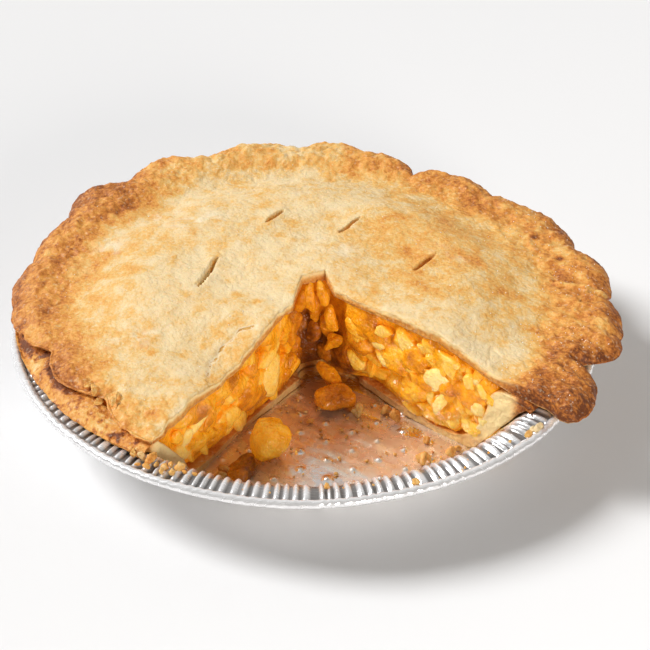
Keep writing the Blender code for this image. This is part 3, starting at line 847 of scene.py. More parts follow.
def crust_paths(theta):
    """Control points of the bottom crust's outer and inner sides for each direction theta."""
    corner = CORNER_BREAK + CORNER_BREAK * (1.0 - smoothstep(RIGHT_CUT, 40.0, theta))
    azimuth = radius_and_azimuth(place(theta, rho_at_radius(theta, WALL_TOP_R), 0.0))[1]
    seat, reach, extra = seat_height(azimuth), rim_reach(azimuth), end_thickening(azimuth)
    bumps = 0.5 + 0.5 * np.sin(np.radians(azimuth) * ROPE_BUMPS)
    top = seat - ROPE_BUMP * bumps * smoothstep(OPEN_RIM[0] - 6.0, OPEN_RIM[0] + 2.0, azimuth)
    low, high = CRUST_FLOOR_Z, CRUST_FLOOR_Z + BASE_CRUST
    flange = FLANGE_Z + 1.3
    outer = [
        (84.6, low),
        (96.5, 0.5 * (low + flange)),
        (108.4, flange),
        (np.minimum(113.0, reach - 1.0), flange),
        (reach - 1.2, flange + 1.4),
        (reach, flange + 2.6),
    ]
    foot, middle, shoulder, brow = (share * extra for share in THICK_END_SHARES)
    inner = [
        (80.6 - foot, high + 0.3),
        (90.4 - middle, 17.0),
        (101.5 - shoulder, seat - 3.0),
        (105.5 - brow, seat),
        (reach - 4.5, top - droop(reach - 4.5, azimuth)),
        (reach - 1.2, top - 1.4 - droop(reach - 1.2, azimuth)),
    ]
    paths = []
    for path, floor_z in ((outer, low), (inner, high)):
        wall_rho = rho_at_radius(theta, path[0][0])
        control = []
        for share in (0.0, 0.5):
            rho = corner + (wall_rho - corner) * share
            control.append(place(pulled_back(theta, rho, base_recess(rho), 3.0), rho, floor_z))
        control += [place(theta, rho_at_radius(theta, radius), z) for radius, z in path]
        paths.append(np.stack(control, axis=1))
    return paths


def wall_radius(z):
    """Radius of the tin's inner side at a height, far out above its flange."""
    return np.interp(z, (0.6, 1.8, 3.4, 28.3, 29.3, 30.6), (84.6, 86.9, 88.0, 107.6, 110.0, 150.0))


def base_relief(smooth, away, theta):
    """The bottom crust's block with its relief: lumpy and pitted on the rolled rim, gently uneven
    lower down, layered at the cuts, and kept inside the tin's wall."""
    rim = smoothstep(*BASE_RIM_R, radius_and_azimuth(smooth)[0])
    lumpy = 0.5 * rough(smooth, 7.0, 3, 3.0) + 0.22 * noise(smooth, 1.7, 6.0) - pits(smooth, 2.4, 0.5, 8.0)
    gentle = 0.25 * rough(smooth, 6.0, 2, 1.0)
    block = smooth + (lumpy * rim + gentle * (1.0 - rim))[..., None] * away
    rho = along_cut(block)
    for cut in (RIGHT_CUT, LEFT_CUT):
        near = bell(rho * np.radians(theta - cut)[:, None, None], 0.0, 1.5)
        block = block + (near * layered_break(block, cut))[..., None] * cut_direction(cut)[1]
    room = (wall_radius(block[..., 2]) - 1.1) / np.hypot(block[..., 0], block[..., 1])
    block[..., :2] *= np.minimum(1.0, room)[..., None]
    return block


def base_masks(smooth, block, theta, level):
    """Masks of the bottom crust: soaked low down, pale raw layers at its cut ends, toasted beside
    the right cut, brown specks and pits, and on its rim a dark line under the lid's edge that is
    partly browning and partly painted shadow."""
    radius, azimuth = radius_and_azimuth(smooth)
    rim = smoothstep(*BASE_RIM_R, radius)
    turn = np.radians(np.minimum(theta - RIGHT_CUT, LEFT_CUT - theta))[:, None, None]
    soaked = 0.6 * (1.0 - smoothstep(4.5, 14.0, block[..., 2]))
    within = np.where(np.abs(level - 0.5) < 0.45, 1.0, 0.35)
    toasted_from = np.where(azimuth < 0.0, 101.0, 104.0)
    untoasted = 1.0 - smoothstep(0.0, 5.0, radius - toasted_from)
    raw = bell(turn * along_cut(smooth), 0.0, 0.8) * within * untoasted * (1.0 - soaked)
    bare_rim = band(azimuth, (186.0, 190.0), (211.0, 217.0)) * (level > 0.5)
    # Dark line just under the lid's edge on the bare rim: partly browning, partly painted shadow cast by
    # the lid
    rim_line_browned_and_shadowed = bare_rim * bell(radius - edge_radius(azimuth), 0.0, 1.7)
    toasted = 0.30 * smoothstep(101.0, 107.0, radius) * (azimuth < 0.0)
    specks = 0.30 * smoothstep(0.30, 0.65, noise(block, 1.6, 13.0)) + 0.35 * pits(block, 2.4, 1.0, 8.0)
    baked = 0.38 + 0.12 * soaked + 0.20 * rough(block, 6.0, 3, 5.0) + 0.55 * rim_line_browned_and_shadowed + toasted
    return {"baked": baked + (0.12 + specks) * rim, "raw": raw, "flour": np.zeros(radius.shape)}


def make_bottom_crust(material):
    """The crust that lines the tin: smooth sections between an outer and an inner side, with a
    lumpy, pitted rolled rim and layered ends at the cuts."""
    share = np.linspace(0.0, 1.0, CRUST_COLUMNS + 1)
    theta = np.interp(share, (0.0, 0.08, 0.32, 0.90, 1.0), (RIGHT_CUT, -31.0, 172.0, 228.0, LEFT_CUT))
    at = np.concatenate([np.linspace(0, 2, 14), np.linspace(2, 5, 22)[1:], np.linspace(5, 7, 20)[1:]])
    outer, inner = (spline(path, at) for path in crust_paths(theta))
    level = np.linspace(0.0, 1.0, CRUST_LEVELS)
    smooth = outer[:, :, None] + (inner - outer)[:, :, None] * level[:, None]
    away = smooth - 0.5 * (outer + inner)[:, :, None]
    away = away / np.maximum(np.linalg.norm(away, axis=-1, keepdims=True), 1.0)
    block = base_relief(smooth, away, theta)
    used, triangles = block_surface(block)
    masks = {name: mask.ravel()[used] for name, mask in base_masks(smooth, block, theta, level).items()}
    points = block.reshape(-1, 3)[used]
    return make_piece("crust_base", points, triangles, material, masks, ["bottom_crust"])


# Filling

def columns(count, crowding=0.0):
    """Azimuths from the right cut to the left cut, crowded towards both cuts."""
    t = np.linspace(0.0, 1.0, count + 1)
    t = t - crowding * np.sin(2.0 * np.pi * t) / (2.0 * np.pi)
    return RIGHT_CUT + (LEFT_CUT - RIGHT_CUT) * t


def chunk_relief(along, up, seed):
    """Bumps of the apple chunks on a cut face: the nearest chunk's dome, as a half ellipse."""
    random = np.random.default_rng(seed)
    at = random.uniform((10.0, 6.0), (92.0, 42.0), (CHUNKS_PER_FACE, 2))
    size = random.uniform(0.7, 1.15, CHUNKS_PER_FACE) * CHUNK_R
    gap = (along[..., None] - at[:, 0]) ** 2 + 1.6 * (up[..., None] - at[:, 1]) ** 2
    swell = np.sqrt(np.clip(1.0 - gap / size**2, 0.0, 1.0))
    return CHUNK_RELIEF * (swell.max(axis=-1) - 0.55)


def face_depth(cut, rho, z):
    """How far the filling's face lies behind the plane of its cut, before its relief."""
    if cut == RIGHT_CUT:
        return base_recess(rho) * np.clip(1.0 - z / RECESS_TOP, 0.0, 1.0) + 0.8
    return 3.0 * (1.0 - np.clip(z / 40.0, 0.0, 1.0)) + 0.8


def make_filling(material):
    """Soft cooked apple between the crusts: bumpy cut faces with fine wet relief, and a hollow low
    in the corner, where the tone is darkened as painted shade."""
    theta = columns(16, 0.6)
    t, u, v = np.meshgrid(theta, np.linspace(0.0, 1.0, 170), np.linspace(0.0, 1.0, 72), indexing="ij")
    azimuth = radius_and_azimuth(place(t, rho_at_radius(t, 100.0), 0.0))[1]
    low = CRUST_FLOOR_Z + BASE_CRUST + CLEARANCE + 0.3
    extra = end_thickening(azimuth) * np.interp(v, FILLING_R_AT[:3], THICK_END_SHARES[:3])
    hidden_gap = HIDDEN_GAP * smoothstep(0.0, 20.0, np.minimum(t - RIGHT_CUT, LEFT_CUT - t))
    wall = np.interp(v, FILLING_R_AT, FILLING_R) - extra - hidden_gap
    corner = corner_rho(t) + 1.0 + HOLLOW * np.sin(np.pi * np.clip(1.25 - v, 0.0, 1.0)) ** 0.7
    rho = corner + (rho_at_radius(t, wall) - corner) * u
    ceiling = crust_underside(place(t, rho, 0.0)) - CLEARANCE - hidden_gap
    z = low + (ceiling - low) * v
    inside = np.minimum(1.0, 6.0 * v * (1.0 - v) + 0.2) * np.minimum(1.0, 8.0 * u * (1.0 - u) + 0.2)
    flat = np.stack([rho, np.broadcast_to(np.sign(t - 90.0), rho.shape) * 50.0, z], -1)
    fine = 0.9 * rough(flat, 6.0, 3, 2.0) + 0.5 * np.abs(rough(flat, 3.0, 2, 6.0))
    right = face_depth(RIGHT_CUT, rho, z) - inside * (chunk_relief(rho, z, 11) + fine)
    left = 3.0 * (1.0 - v) + 0.8 - inside * (chunk_relief(rho, z, 12) + fine)
    block = place(pulled_back(t, rho, right, left), rho, z)
    # Painted shade: the filling's tone is lowered in the deep corner where the cut faces meet
    corner_painted_shade = bell(rho, 8.0, 13.0) * bell(z, 14.0, 15.0)
    tone = CORE_TONE + 0.16 * rough(flat, 7.0, 3, 12.0) - 0.42 * corner_painted_shade
    used, triangles = block_surface(block)
    masks = {"tone": np.clip(tone, 0.0, 1.0).ravel()[used]}
    points = block.reshape(-1, 3)[used]
    return make_piece("cooked_apple", points, triangles, material, masks, ["filling"])


def apple_lump(half, rows, count, seed, dents=0.05, bend=0.0, sharpness=7.0):
    """A closed lump of cut apple about the origin, with flat sides and soft edges: points, triangles.

    Its radius in a direction d is the sum over its sides of max(0, d.n/h) to the power p, to the power
    -1/p. A side has the normal n and the distance h. The sides are a box's six, each tilted a little
    at random, and five that cut its corners. Bend lowers both ends along X by a parabola.
    """
    random = np.random.default_rng(seed)
    down = np.radians(np.linspace(0.0, 180.0, rows + 1))[1:-1, None]
    turn = np.linspace(0.0, 2.0 * np.pi, count, endpoint=False)[None, :]
    x, y = np.sin(down) * np.cos(turn), np.sin(down) * np.sin(turn)
    unit = np.stack([x, y, np.broadcast_to(np.cos(down), x.shape)], -1).reshape(-1, 3)
    unit = np.concatenate([unit, [[0.0, 0.0, 1.0], [0.0, 0.0, -1.0]]])
    direction = unit * half
    direction = direction / np.linalg.norm(direction, axis=1, keepdims=True)
    normals = np.concatenate([np.eye(3), -np.eye(3), random.normal(size=(5, 3))])
    normals = normals + random.normal(0.0, 0.14, normals.shape)
    normals = normals / np.linalg.norm(normals, axis=1, keepdims=True)
    reach = np.linalg.norm(normals * half, axis=1) * random.uniform(0.82, 1.0, len(normals))
    pull = np.clip(direction @ normals.T / reach, 0.0, None)
    points = direction * ((pull**sharpness).sum(axis=1) ** (-1.0 / sharpness))[:, None]
    size = float(np.mean(half))
    dent = dents * rough(points + 37.0 * seed, size * 0.8, 3) + 0.015 * noise(points + 11.0 * seed, 1.0)
    points = points * (1.0 + dent)[:, None]
    points[:, 2] -= bend * unit[:, 0] ** 2
    index = np.arange((rows - 1) * count).reshape(rows - 1, count)
    around = np.concatenate([index, index[:, :1]], axis=1)
    top, bottom = len(points) - 2, len(points) - 1
    first, last = around[0], around[-1]
    caps = [
        np.stack([np.full(count, top), first[:-1], first[1:]], -1),
        np.stack([last[1:], last[:-1], np.full(count, bottom)], -1),
    ]
    return points, np.concatenate([grid_triangles(around, True), *caps])


def turn_about(points, axis, degrees):
    """Points turned about an axis through the origin."""
    return points @ np.array(Matrix.Rotation(np.radians(degrees), 3, Vector(axis))).T


CORE_TONE = 0.40

# Apple pieces that show on the cut faces: distance from the corner, height, length, width, lean from
# level, tone from dark amber 0 to pale 1, and how far the piece stands out of the face
LEFT_PIECES = [
    (31.1, 20.0, 28.0, 9.5, 104.0, 0.78, 2.6), (24.5, 41.0, 14.0, 6.5, 118.0, 0.50, 1.6),
    (55.7, 26.4, 12.0, 6.0, 140.0, 0.62, 1.8), (55.8, 14.0, 11.0, 9.0, 83.0, 0.66, 3.0),
    (50.8, 8.0, 9.0, 7.5, 75.0, 0.70, 3.4), (78.1, 25.5, 13.0, 6.0, 140.0, 0.85, 1.8),
    (85.0, 16.5, 15.0, 9.0, 47.0, 0.72, 1.4), (16.1, 32.0, 15.0, 4.5, 100.0, 0.42, 1.8),
    (22.0, 21.4, 9.0, 5.0, 126.0, 0.40, 1.6), (70.3, 21.9, 10.0, 6.0, 107.0, 0.30, 1.4),
    (44.0, 14.5, 11.0, 6.0, 76.0, 0.45, 2.0), (62.8, 28.0, 9.0, 5.0, 115.0, 0.40, 1.4),
    (42.0, 32.0, 12.0, 6.0, 130.0, 0.35, 1.4), (68.0, 12.0, 12.0, 7.0, 20.0, 0.25, 1.4),
    (20.0, 12.0, 9.0, 5.0, 100.0, 0.35, 1.4), (90.5, 24.0, 8.0, 5.0, 60.0, 0.60, 1.2),
]
RIGHT_PIECES = [
    (17.5, 16.2, 13.0, 9.0, 88.0, 0.80, 3.0), (19.5, 35.0, 13.0, 9.5, 11.0, 0.62, 2.4),
    (29.4, 32.4, 11.0, 5.0, 147.0, 0.85, 2.0), (33.6, 24.2, 14.0, 6.0, 152.0, 0.75, 2.2),
    (60.3, 25.8, 15.0, 10.5, 36.0, 0.97, 3.2), (46.9, 12.7, 9.5, 5.5, 165.0, 0.95, 2.4),
    (62.6, 16.2, 16.0, 5.5, 56.0, 0.88, 2.4), (80.3, 22.0, 11.0, 7.0, 114.0, 0.85, 2.2),
    (77.0, 11.0, 14.0, 10.0, 22.0, 0.62, 2.2), (76.6, 33.0, 11.0, 4.5, 101.0, 0.65, 1.8),
    (82.6, 31.0, 9.0, 4.5, 110.0, 0.70, 1.8), (27.7, 12.8, 12.0, 5.0, 170.0, 0.62, 1.6),
    (34.1, 38.6, 7.0, 5.0, 152.0, 0.75, 1.4), (57.2, 36.0, 8.0, 5.0, 168.0, 0.70, 1.4),
    (67.3, 35.0, 7.5, 3.8, 110.0, 0.55, 1.4), (41.0, 36.5, 7.5, 5.0, 161.0, 0.60, 1.4),
    (49.8, 22.6, 8.0, 5.0, 168.0, 0.45, 1.6), (43.0, 29.5, 11.0, 6.0, 140.0, 0.50, 1.4),
    (70.5, 25.0, 10.0, 6.0, 95.0, 0.30, 1.4), (55.0, 9.5, 9.0, 5.5, 20.0, 0.50, 1.4),
    (68.5, 9.5, 9.0, 5.5, 150.0, 0.70, 1.4), (50.0, 32.5, 9.0, 5.0, 10.0, 0.35, 1.2),
]

# Pieces in the corner of the gap: middle, half sizes, tilt about a slanting level axis, tone; their low
# tones paint the shade of the deep corner
CORNER_PIECES = [
    ((1.5, 3.0, 39.5), (2.6, 2.6, 8.5), 8.0, 0.394), ((7.6, 1.6, 40.5), (2.8, 2.6, 6.5), -12.0, 0.520),
    ((-2.4, 1.4, 36.0), (2.2, 2.4, 8.0), 16.0, 0.286), ((4.6, 4.6, 33.0), (2.4, 2.4, 9.0), 4.0, 0.340),
    ((10.6, -2.4, 31.0), (2.8, 2.8, 7.5), -10.0, 0.430), ((-4.6, 0.6, 27.0), (2.6, 2.8, 8.0), 10.0, 0.232),
    ((-5.4, -2.0, 18.0), (4.0, 4.2, 4.6), 5.0, 0.214), ((3.2, 5.0, 20.0), (4.0, 3.6, 5.4), 20.0, 0.088),
    ((8.6, 3.0, 23.0), (3.0, 3.0, 6.0), -8.0, 0.250), ((8.0, 3.5, 10.5), (4.5, 4.0, 4.0), 0.0, 0.124),
    ((-6.0, -6.0, 11.0), (4.2, 3.6, 4.6), 0.0, 0.142), ((12.6, -3.0, 20.0), (3.4, 2.8, 5.0), 12.0, 0.358),
]


def scattered_pieces(cut, count, seed):
    """Seeded small pieces between the listed ones: lying slices on the right, leaning on the left.

    Those that would reach the lid are left out, and the low ones are lifted off the bottom crust.
    """
    random = np.random.default_rng(seed)
    pieces = []
    for _ in range(count):
        rho, z = random.uniform(13.0, 91.0), random.uniform(6.0, 42.0)
        ceiling = crust_underside(np.array([place(cut, rho, 0.0)]))[0]
        length, width = random.uniform(7.0, 18.0), random.uniform(3.8, 8.0)
        lean = random.normal(145.0, 35.0) if cut == RIGHT_CUT else random.normal(108.0, 30.0)
        tone = np.clip(random.normal(0.64 if cut == RIGHT_CUT else 0.55, 0.14), 0.25, 0.97)
        upright, level = np.abs(np.sin(np.radians(lean))), np.abs(np.cos(np.radians(lean)))
        if z < ceiling - 1.5 - 0.3 * length:
            height = max(z, 3.0 + 0.5 * length * upright + 0.5 * width * level)
            pieces.append((rho, height, length, width, lean, tone, random.uniform(0.1, 1.1)))
    return pieces


def syrup_covered(points, cut, tone):
    """Tone of a piece: its own where it stands out of the cut face, and the filling's towards the face."""
    along, outward = cut_direction(cut)
    offset = points - (*CORNER, 0.0)
    ahead = offset @ outward + face_depth(cut, offset @ along, points[:, 2])
    corner_shade = 0.16 * bell(offset @ along, 8.0, 15.0)
    return CORE_TONE + (tone - CORE_TONE) * smoothstep(-1.0, 1.3, ahead) - corner_shade


def laid_on_face(cut, piece, number):
    """One piece as a lump set into a cut's face along its own lean: its points and triangles."""
    rho, z, length, width, lean, _, proud = piece
    along, outward = cut_direction(cut)
    thickness = 0.42 * width
    rows, count = (20, 30) if length > 12.0 else (14, 20)
    half = np.array([0.5 * length, 0.5 * width, thickness])
    points, faces = apple_lump(half, rows, count, number, 0.16, 0.06 * length, 5.0)
    c, s = np.cos(np.radians(lean)), np.sin(np.radians(lean))
    first = c * along + s * np.array([0.0, 0.0, 1.0])
    behind = face_depth(cut, np.array(rho), np.array(z)) + thickness - proud
    middle = np.array([*CORNER, z]) + rho * along - behind * outward
    return points @ np.stack([first, np.cross(outward, first), outward]) + middle, faces


def make_apple_pieces(material):
    """Slices and lumps of apple set into the filling's faces, each a lump laid along its own lean."""
    collected, triangles = Points("tone"), []
    number = 0
    faces_of_cut = (
        (LEFT_CUT, LEFT_PIECES + scattered_pieces(LEFT_CUT, 70, 5)),
        (RIGHT_CUT, RIGHT_PIECES + scattered_pieces(RIGHT_CUT, 75, 6)),
    )
    for cut, pieces in faces_of_cut:
        for piece in pieces:
            number += 1
            points, faces = laid_on_face(cut, piece, number)
            index = collected.add(points, tone=syrup_covered(points, cut, piece[5]))
            triangles.append(index[faces])
    for middle, half, turn, tone in CORNER_PIECES:
        number += 1
        points, faces = apple_lump(np.array(half), 22, 30, number, 0.24, 0.0, 4.0)
        index = collected.add(turn_about(points, (0.3, 1.0, 0.0), turn) + middle, tone=tone)
        triangles.append(index[faces])
    points, masks = collected.all()
    triangles = np.concatenate(triangles)
    return make_piece("apple_pieces", points, triangles, material, masks, ["filling"])


# Fallen apple

# Pieces of apple lying in the gap: node, middle, half sizes, turn about Z, tilt about Y, tone
FALLEN = [
    ("apple_chunk_front", (-14.2, -56.2, 9.0), (8.4, 8.4, 8.0), 25.0, 8.0, 0.50),
    ("apple_slice_front", (-25.6, -66.4, 3.4), (9.4, 6.4, 2.1), 48.0, 0.0, 0.08),
    ("apple_chunk_corner", (11.5, -24.5, 5.6), (9.4, 6.4, 4.4), 18.0, 0.0, 0.22),
    ("apple_slice_corner", (10.0, -12.5, 9.4), (8.4, 3.2, 2.6), -46.0, 30.0, 0.30),
]


def make_fallen_apple(material):
    """The four pieces of cooked apple that lie on the tin's floor, one mesh for each."""
    for number, (node, middle, half, turn, tilt, tone) in enumerate(FALLEN):
        points, faces = apple_lump(0.97 * np.array(half), 44, 64, 41 + number, 0.13)
        points = turn_about(turn_about(points, (0.0, 1.0, 0.0), tilt), (0.0, 0.0, 1.0), turn) + middle
        # Each piece's tone is darker towards its bottom
        masks = {"tone": tone - 0.22 * smoothstep(0.0, -0.8 * half[2], points[:, 2] - middle[2])}
        make_piece(f"fallen_{node}", points, faces, material, masks, [node])


# Foil tin

# Section of the pan outwards from its foot: radius, height, and how far the pleats swing it in and up
TIN_SECTION = [
    (84.6, 0.6, 0.0, 0.0), (85.8, 0.8, 0.1, 0.0), (86.9, 1.8, 0.3, 0.0), (88.0, 3.4, 0.55, 0.0),
    (93.0, 9.8, 0.8, 0.0), (98.5, 16.8, 0.9, 0.1), (104.0, 23.8, 0.9, 0.2), (107.6, 28.3, 0.8, 0.5),
    (108.6, 29.3, 0.4, 0.8), (109.8, 30.0, 0.0, 0.9), (113.0, 30.5, 0.0, 0.9), (116.5, 30.2, 0.0, 0.8),
    (118.2, 29.7, 0.0, 0.5),
]
BEAD_MIDDLE = (120.2, 29.9)
BEAD_THICKNESS = 1.75
BEAD_WRINKLE = 0.12
FLOOR_COLUMNS = 360
FLOOR_RINGS = 60


def pleat_wave(azimuth):
    """Pleats round the tin from -1 to 1: a triangle wave, clipped, with noise in its phase and size."""
    ring = on_circle(azimuth, 110.0)
    phase = azimuth / 360.0 * PLEATS + 0.30 * noise(ring, 5.0) + 0.4 * noise(ring, 23.0, 2.0)
    triangle = 4.0 * np.abs(phase % 1.0 - 0.5) - 1.0
    return (1.0 + 0.55 * noise(ring, 3.0, 5.0)) * np.clip(2.2 * triangle - 0.3, -1.0, 1.0)


def dimples(points):
    """Round bumps pressed into the tin's floor on a hexagonal pattern: a squared cosine each."""
    column = np.round((points[..., 0] - DIMPLE_START[0]) / DIMPLE_COLUMN)
    shift = 0.5 * DIMPLE_PITCH * (column % 2)
    row = np.round((points[..., 1] - DIMPLE_START[1] - shift) / DIMPLE_PITCH)
    dx = points[..., 0] - DIMPLE_START[0] - column * DIMPLE_COLUMN
    dy = points[..., 1] - DIMPLE_START[1] - shift - row * DIMPLE_PITCH
    return np.cos(0.5 * np.pi * np.clip(np.hypot(dx, dy) / DIMPLE_R, 0.0, 1.0)) ** 2


def foil_unevenness(points):
    """Dents and creases of thin foil, as a height."""
    return 0.22 * rough(points, 26.0, 2, 3.0) + 0.10 * np.abs(noise(points, 7.0, 4.0))


def floor_relief(points):
    """Height of the tin's floor over its level: bumps and dents that fade before the wall."""
    fade = smoothstep(FLOOR_EDGE_R, FLOOR_FLATTENS_R, np.hypot(points[..., 0], points[..., 1]))
    return (dimples(points) + foil_unevenness(points)) * fade


def tin_rings(azimuth, pleat):
    """Rings of the pan's side, and the radius at which each takes its masks.

    They run up the wall and over the flange, round the bead, and back underneath at the foil's
    thickness. Each ring is swung in and up by its own share of the pleats.
    """
    direction = on_circle(azimuth, 1.0)
    around = direction * 120.0
    sway = (0.5 * noise(around, 45.0, 6.0) + 0.2 * noise(around, 9.0, 1.0))[:, None]

    def ring(r, z, into, up):
        level = (r - into * pleat)[:, None] + sway * smoothstep(100.0, 118.0, r)
        return direction * level + (0.0, 0.0, 1.0) * (z + up * pleat)[:, None]

    section = np.array(TIN_SECTION)
    at = np.linspace(0.0, len(section) - 1.0, 2 * len(section) - 1)
    radius, height, inward, upward = (np.interp(at, np.arange(len(section)), row) for row in section.T)
    over = [ring(*values) for values in zip(radius, height, inward, upward)]
    bead_r, bead_z = BEAD_MIDDLE
    tall = BEAD_THICKNESS + BEAD_WRINKLE * pleat
    bead = [
        ring(bead_r + BEAD_THICKNESS * np.cos(a), bead_z + tall * np.sin(a), 0.15, 0.0)
        for a in np.radians(np.linspace(165.0, -165.0, 15))
    ]
    flat = smoothstep(28.1, 29.0, section[:, 1])
    under = [
        ring(r + 0.45 * (1.0 - level), z - FOIL * (0.45 + 0.55 * level), into, up)
        for (r, z, into, up), level in zip(section, flat)
    ]
    rings = np.stack(over + bead + under[::-1])
    rings[-1, :, 2] = 0.0
    mask_radius = np.concatenate([radius, np.full(len(bead), bead_r), np.zeros(len(under))])
    return rings, mask_radius[:, None]


def closed_round(index):
    """Rows of point numbers with the first one put again at their end."""
    return np.concatenate([index, index[..., :1]], axis=-1)


def make_tin(material):
    """The pan: a floor of rings with pressed bumps, then its pleated side, closed underneath."""
    floor_turn = np.linspace(0.0, 360.0, FLOOR_COLUMNS, endpoint=False)
    floor_r = np.linspace(0.6, FLOOR_EDGE_R, FLOOR_RINGS)
    floor = on_circle(floor_turn, 1.0) * floor_r[:, None, None] + (0.0, 0.0, FOIL)
    floor[..., 2] += floor_relief(floor)
    azimuth = np.linspace(0.0, 360.0, PLEATS * STEPS_PER_PLEAT, endpoint=False)
    pleat = PLEAT_DEPTH * pleat_wave(azimuth)
    rings, mask_radius = tin_rings(azimuth, pleat)
    # Valley mask: painted shade and dark reflection in the pleats' valleys on the flange, and a dark
    # painted line in the crease by the bead
    folds = smoothstep(0.1, -0.9, pleat / PLEAT_DEPTH) * band(mask_radius, (105.0, 109.0), (117.5, 118.5))
    crease = 0.7 * bell(mask_radius, 118.2, 0.4)
    flange = smoothstep(105.0, 109.0, mask_radius)

    collected = Points("valley", "flange")
    middle = collected.add(np.array([[0.0, 0.0, FOIL]]))[0]
    base = closed_round(collected.add(floor))
    side = closed_round(collected.add(rings, valley=np.maximum(folds, crease), flange=flange))
    below = collected.add(np.array([[0.0, 0.0, 0.0]]))[0]
    triangles = [
        np.stack([np.full(FLOOR_COLUMNS, middle), base[0, :-1], base[0, 1:]], -1),
        grid_triangles(base, True),
        stitch(side[0], base[-1]),
        grid_triangles(side, True),
        np.stack([side[-1, 1:], side[-1, :-1], np.full(len(side[-1]) - 1, below)], -1),
    ]
    points, masks = collected.all()
    return make_piece("pleated_tin", points, np.concatenate(triangles), material, masks, ["tin"])


# Syrup, crumbs, sugar and flakes

FILM_COLUMNS = 200
FILM_ROWS = 160


def film_thickness(points):
    """Thickness of the syrup on the floor: pooled beside the crusts, streaky and thin in the open."""
    x, y = points[..., 0], points[..., 1]
    streak = turn_about(points, (0.0, 0.0, 1.0), 40.0) * (0.35, 1.6, 1.0)
    pool = bell(along_cut(points), 8.0, 30.0) + 0.8 * bell(np.hypot(x + 22.0, y + 62.0), 0.0, 16.0)
    return 0.15 + 0.32 * rough(streak, 9.0, 3, 4.0) + 0.55 * pool - 0.25 * dimples(points)


def make_syrup(material):
    """A thin film of syrup over the floor between the cuts, with an uneven edge near the tin's wall.

    Its top follows the floor's bumps, less where it is thick, and thins to all its borders.
    """
    theta = np.linspace(LEFT_CUT - 6.0, RIGHT_CUT + 366.0, FILM_COLUMNS)
    share = np.linspace(0.0, 1.0, FILM_ROWS)
    reach = rho_at_radius(theta, 82.6 + 1.0 * noise(place(theta, 90.0, 0.0), 9.0, 5.0))
    top = place(theta[:, None], 1.0 + (reach[:, None] - 1.0) * share, 0.0)
    thick = np.clip(film_thickness(top), 0.05, 1.5)
    last = FILM_COLUMNS - 1.0
    across = band(np.arange(float(FILM_COLUMNS)), (0.0, 3.0), (last - 3.0, last))
    taper = np.minimum(band(share, (0.0, 0.03), (0.975, 1.0)), across[:, None])
    follows = 1.0 - 0.35 * np.clip(thick, 0.0, 1.0)
    top[..., 2] = FOIL + floor_relief(top) * follows + thick * taper - 0.05
    bottom = top * (1.0, 1.0, 0.0) + (0.0, 0.0, FOIL - 0.3)
    block = np.stack([bottom, top], axis=2)
    used, triangles = block_surface(block)
    mask = np.stack([thick, thick], axis=-1).ravel()[used]
    return make_piece("syrup_film", block.reshape(-1, 3)[used], triangles, material, {"film": mask})


# Crumbs seen on the floor and flange: x, y, half size
CRUMBS = [
    (21.4, -29.6, 2.4), (33.2, -28.6, 1.8), (36.9, -34.0, 1.8), (49.0, -48.5, 1.2), (58.6, -56.3, 1.9),
    (46.3, -62.0, 2.0), (49.4, -60.4, 1.3), (60.9, -53.4, 1.3), (-31.3, -67.3, 2.2), (-33.5, -70.4, 1.7),
    (-29.0, -71.8, 1.5), (-27.6, -75.0, 1.0), (-35.0, -73.5, 1.3), (16.2, -22.7, 1.1), (1.9, -34.7, 1.2),
    (40.8, -110.7, 1.2), (7.5, -112.4, 1.1), (-59.2, -96.5, 1.6), (-53.3, -101.4, 1.5),
    (-56.5, -98.5, 1.2), (-62.5, -94.5, 1.4), (-50.5, -103.8, 1.2), (-65.8, -92.5, 1.2),
    (-60.5, -99.8, 1.2), (-58.0, -94.8, 1.3), (-46.0, -103.0, 0.9), (-47.5, -101.0, 1.5),
    (-51.0, -98.6, 1.0), (-54.6, -103.2, 0.9), (-42.0, -104.2, 0.8), (-63.8, -98.0, 0.9),
]


def small_crumbs(random):
    """Seeded small crumbs, 90 on the floor of the gap and 16 on the flange: x, y, half size."""
    crumbs = []
    for _ in range(90):
        theta, rho = random.uniform(236.0, 318.0), random.uniform(14.0, 92.0)
        x, y, _ = place(theta, rho, 0.0)
        if np.hypot(x, y) < 82.0:
            crumbs.append((x, y, random.uniform(0.25, 0.7)))
    for _ in range(16):
        x, y, _ = on_circle(random.uniform(232.0, 318.0), random.uniform(109.0, 118.0))
        crumbs.append((x, y, random.uniform(0.2, 0.5)))
    return crumbs


def make_crumbs(material):
    """Crumbs of baked pastry: rough turned lumps that lie on the tin's floor and flange."""
    random = np.random.default_rng(21)
    collected, triangles = Points("baked", "flour", "raw"), []
    for number, (x, y, size) in enumerate(CRUMBS + small_crumbs(random)):
        half = 1.3 * size * random.uniform(0.7, 1.2, 3) * (1.0, 1.0, 0.75)
        points, faces = apple_lump(half, 12, 16, 100 + number, 0.36, 0.0, 4.0)
        points = turn_about(points, random.normal(size=3), random.uniform(0.0, 180.0))
        rest = FLANGE_TOP_Z if np.hypot(x, y) > 100.0 else FOIL + 0.4
        points += (x, y, rest - points[:, 2].min())
        baked = np.clip(random.normal(0.41, 0.09), 0.2, 0.7)
        triangles.append(collected.add(points, baked=baked)[faces])
    points, masks = collected.all()
    return make_piece("pastry_crumbs", points, np.concatenate(triangles), material, masks)


SUGAR_GRAINS = 1100

BOX_CORNERS = np.array([(x, y, z) for x in (-1, 1) for y in (-1, 1) for z in (-1, 1)], dtype=float)
BOX_TRIANGLES = np.array([
    (0, 1, 3), (0, 3, 2), (4, 6, 7), (4, 7, 5), (0, 4, 5), (0, 5, 1),
    (2, 3, 7), (2, 7, 6), (0, 2, 6), (0, 6, 4), (1, 5, 7), (1, 7, 3),
])


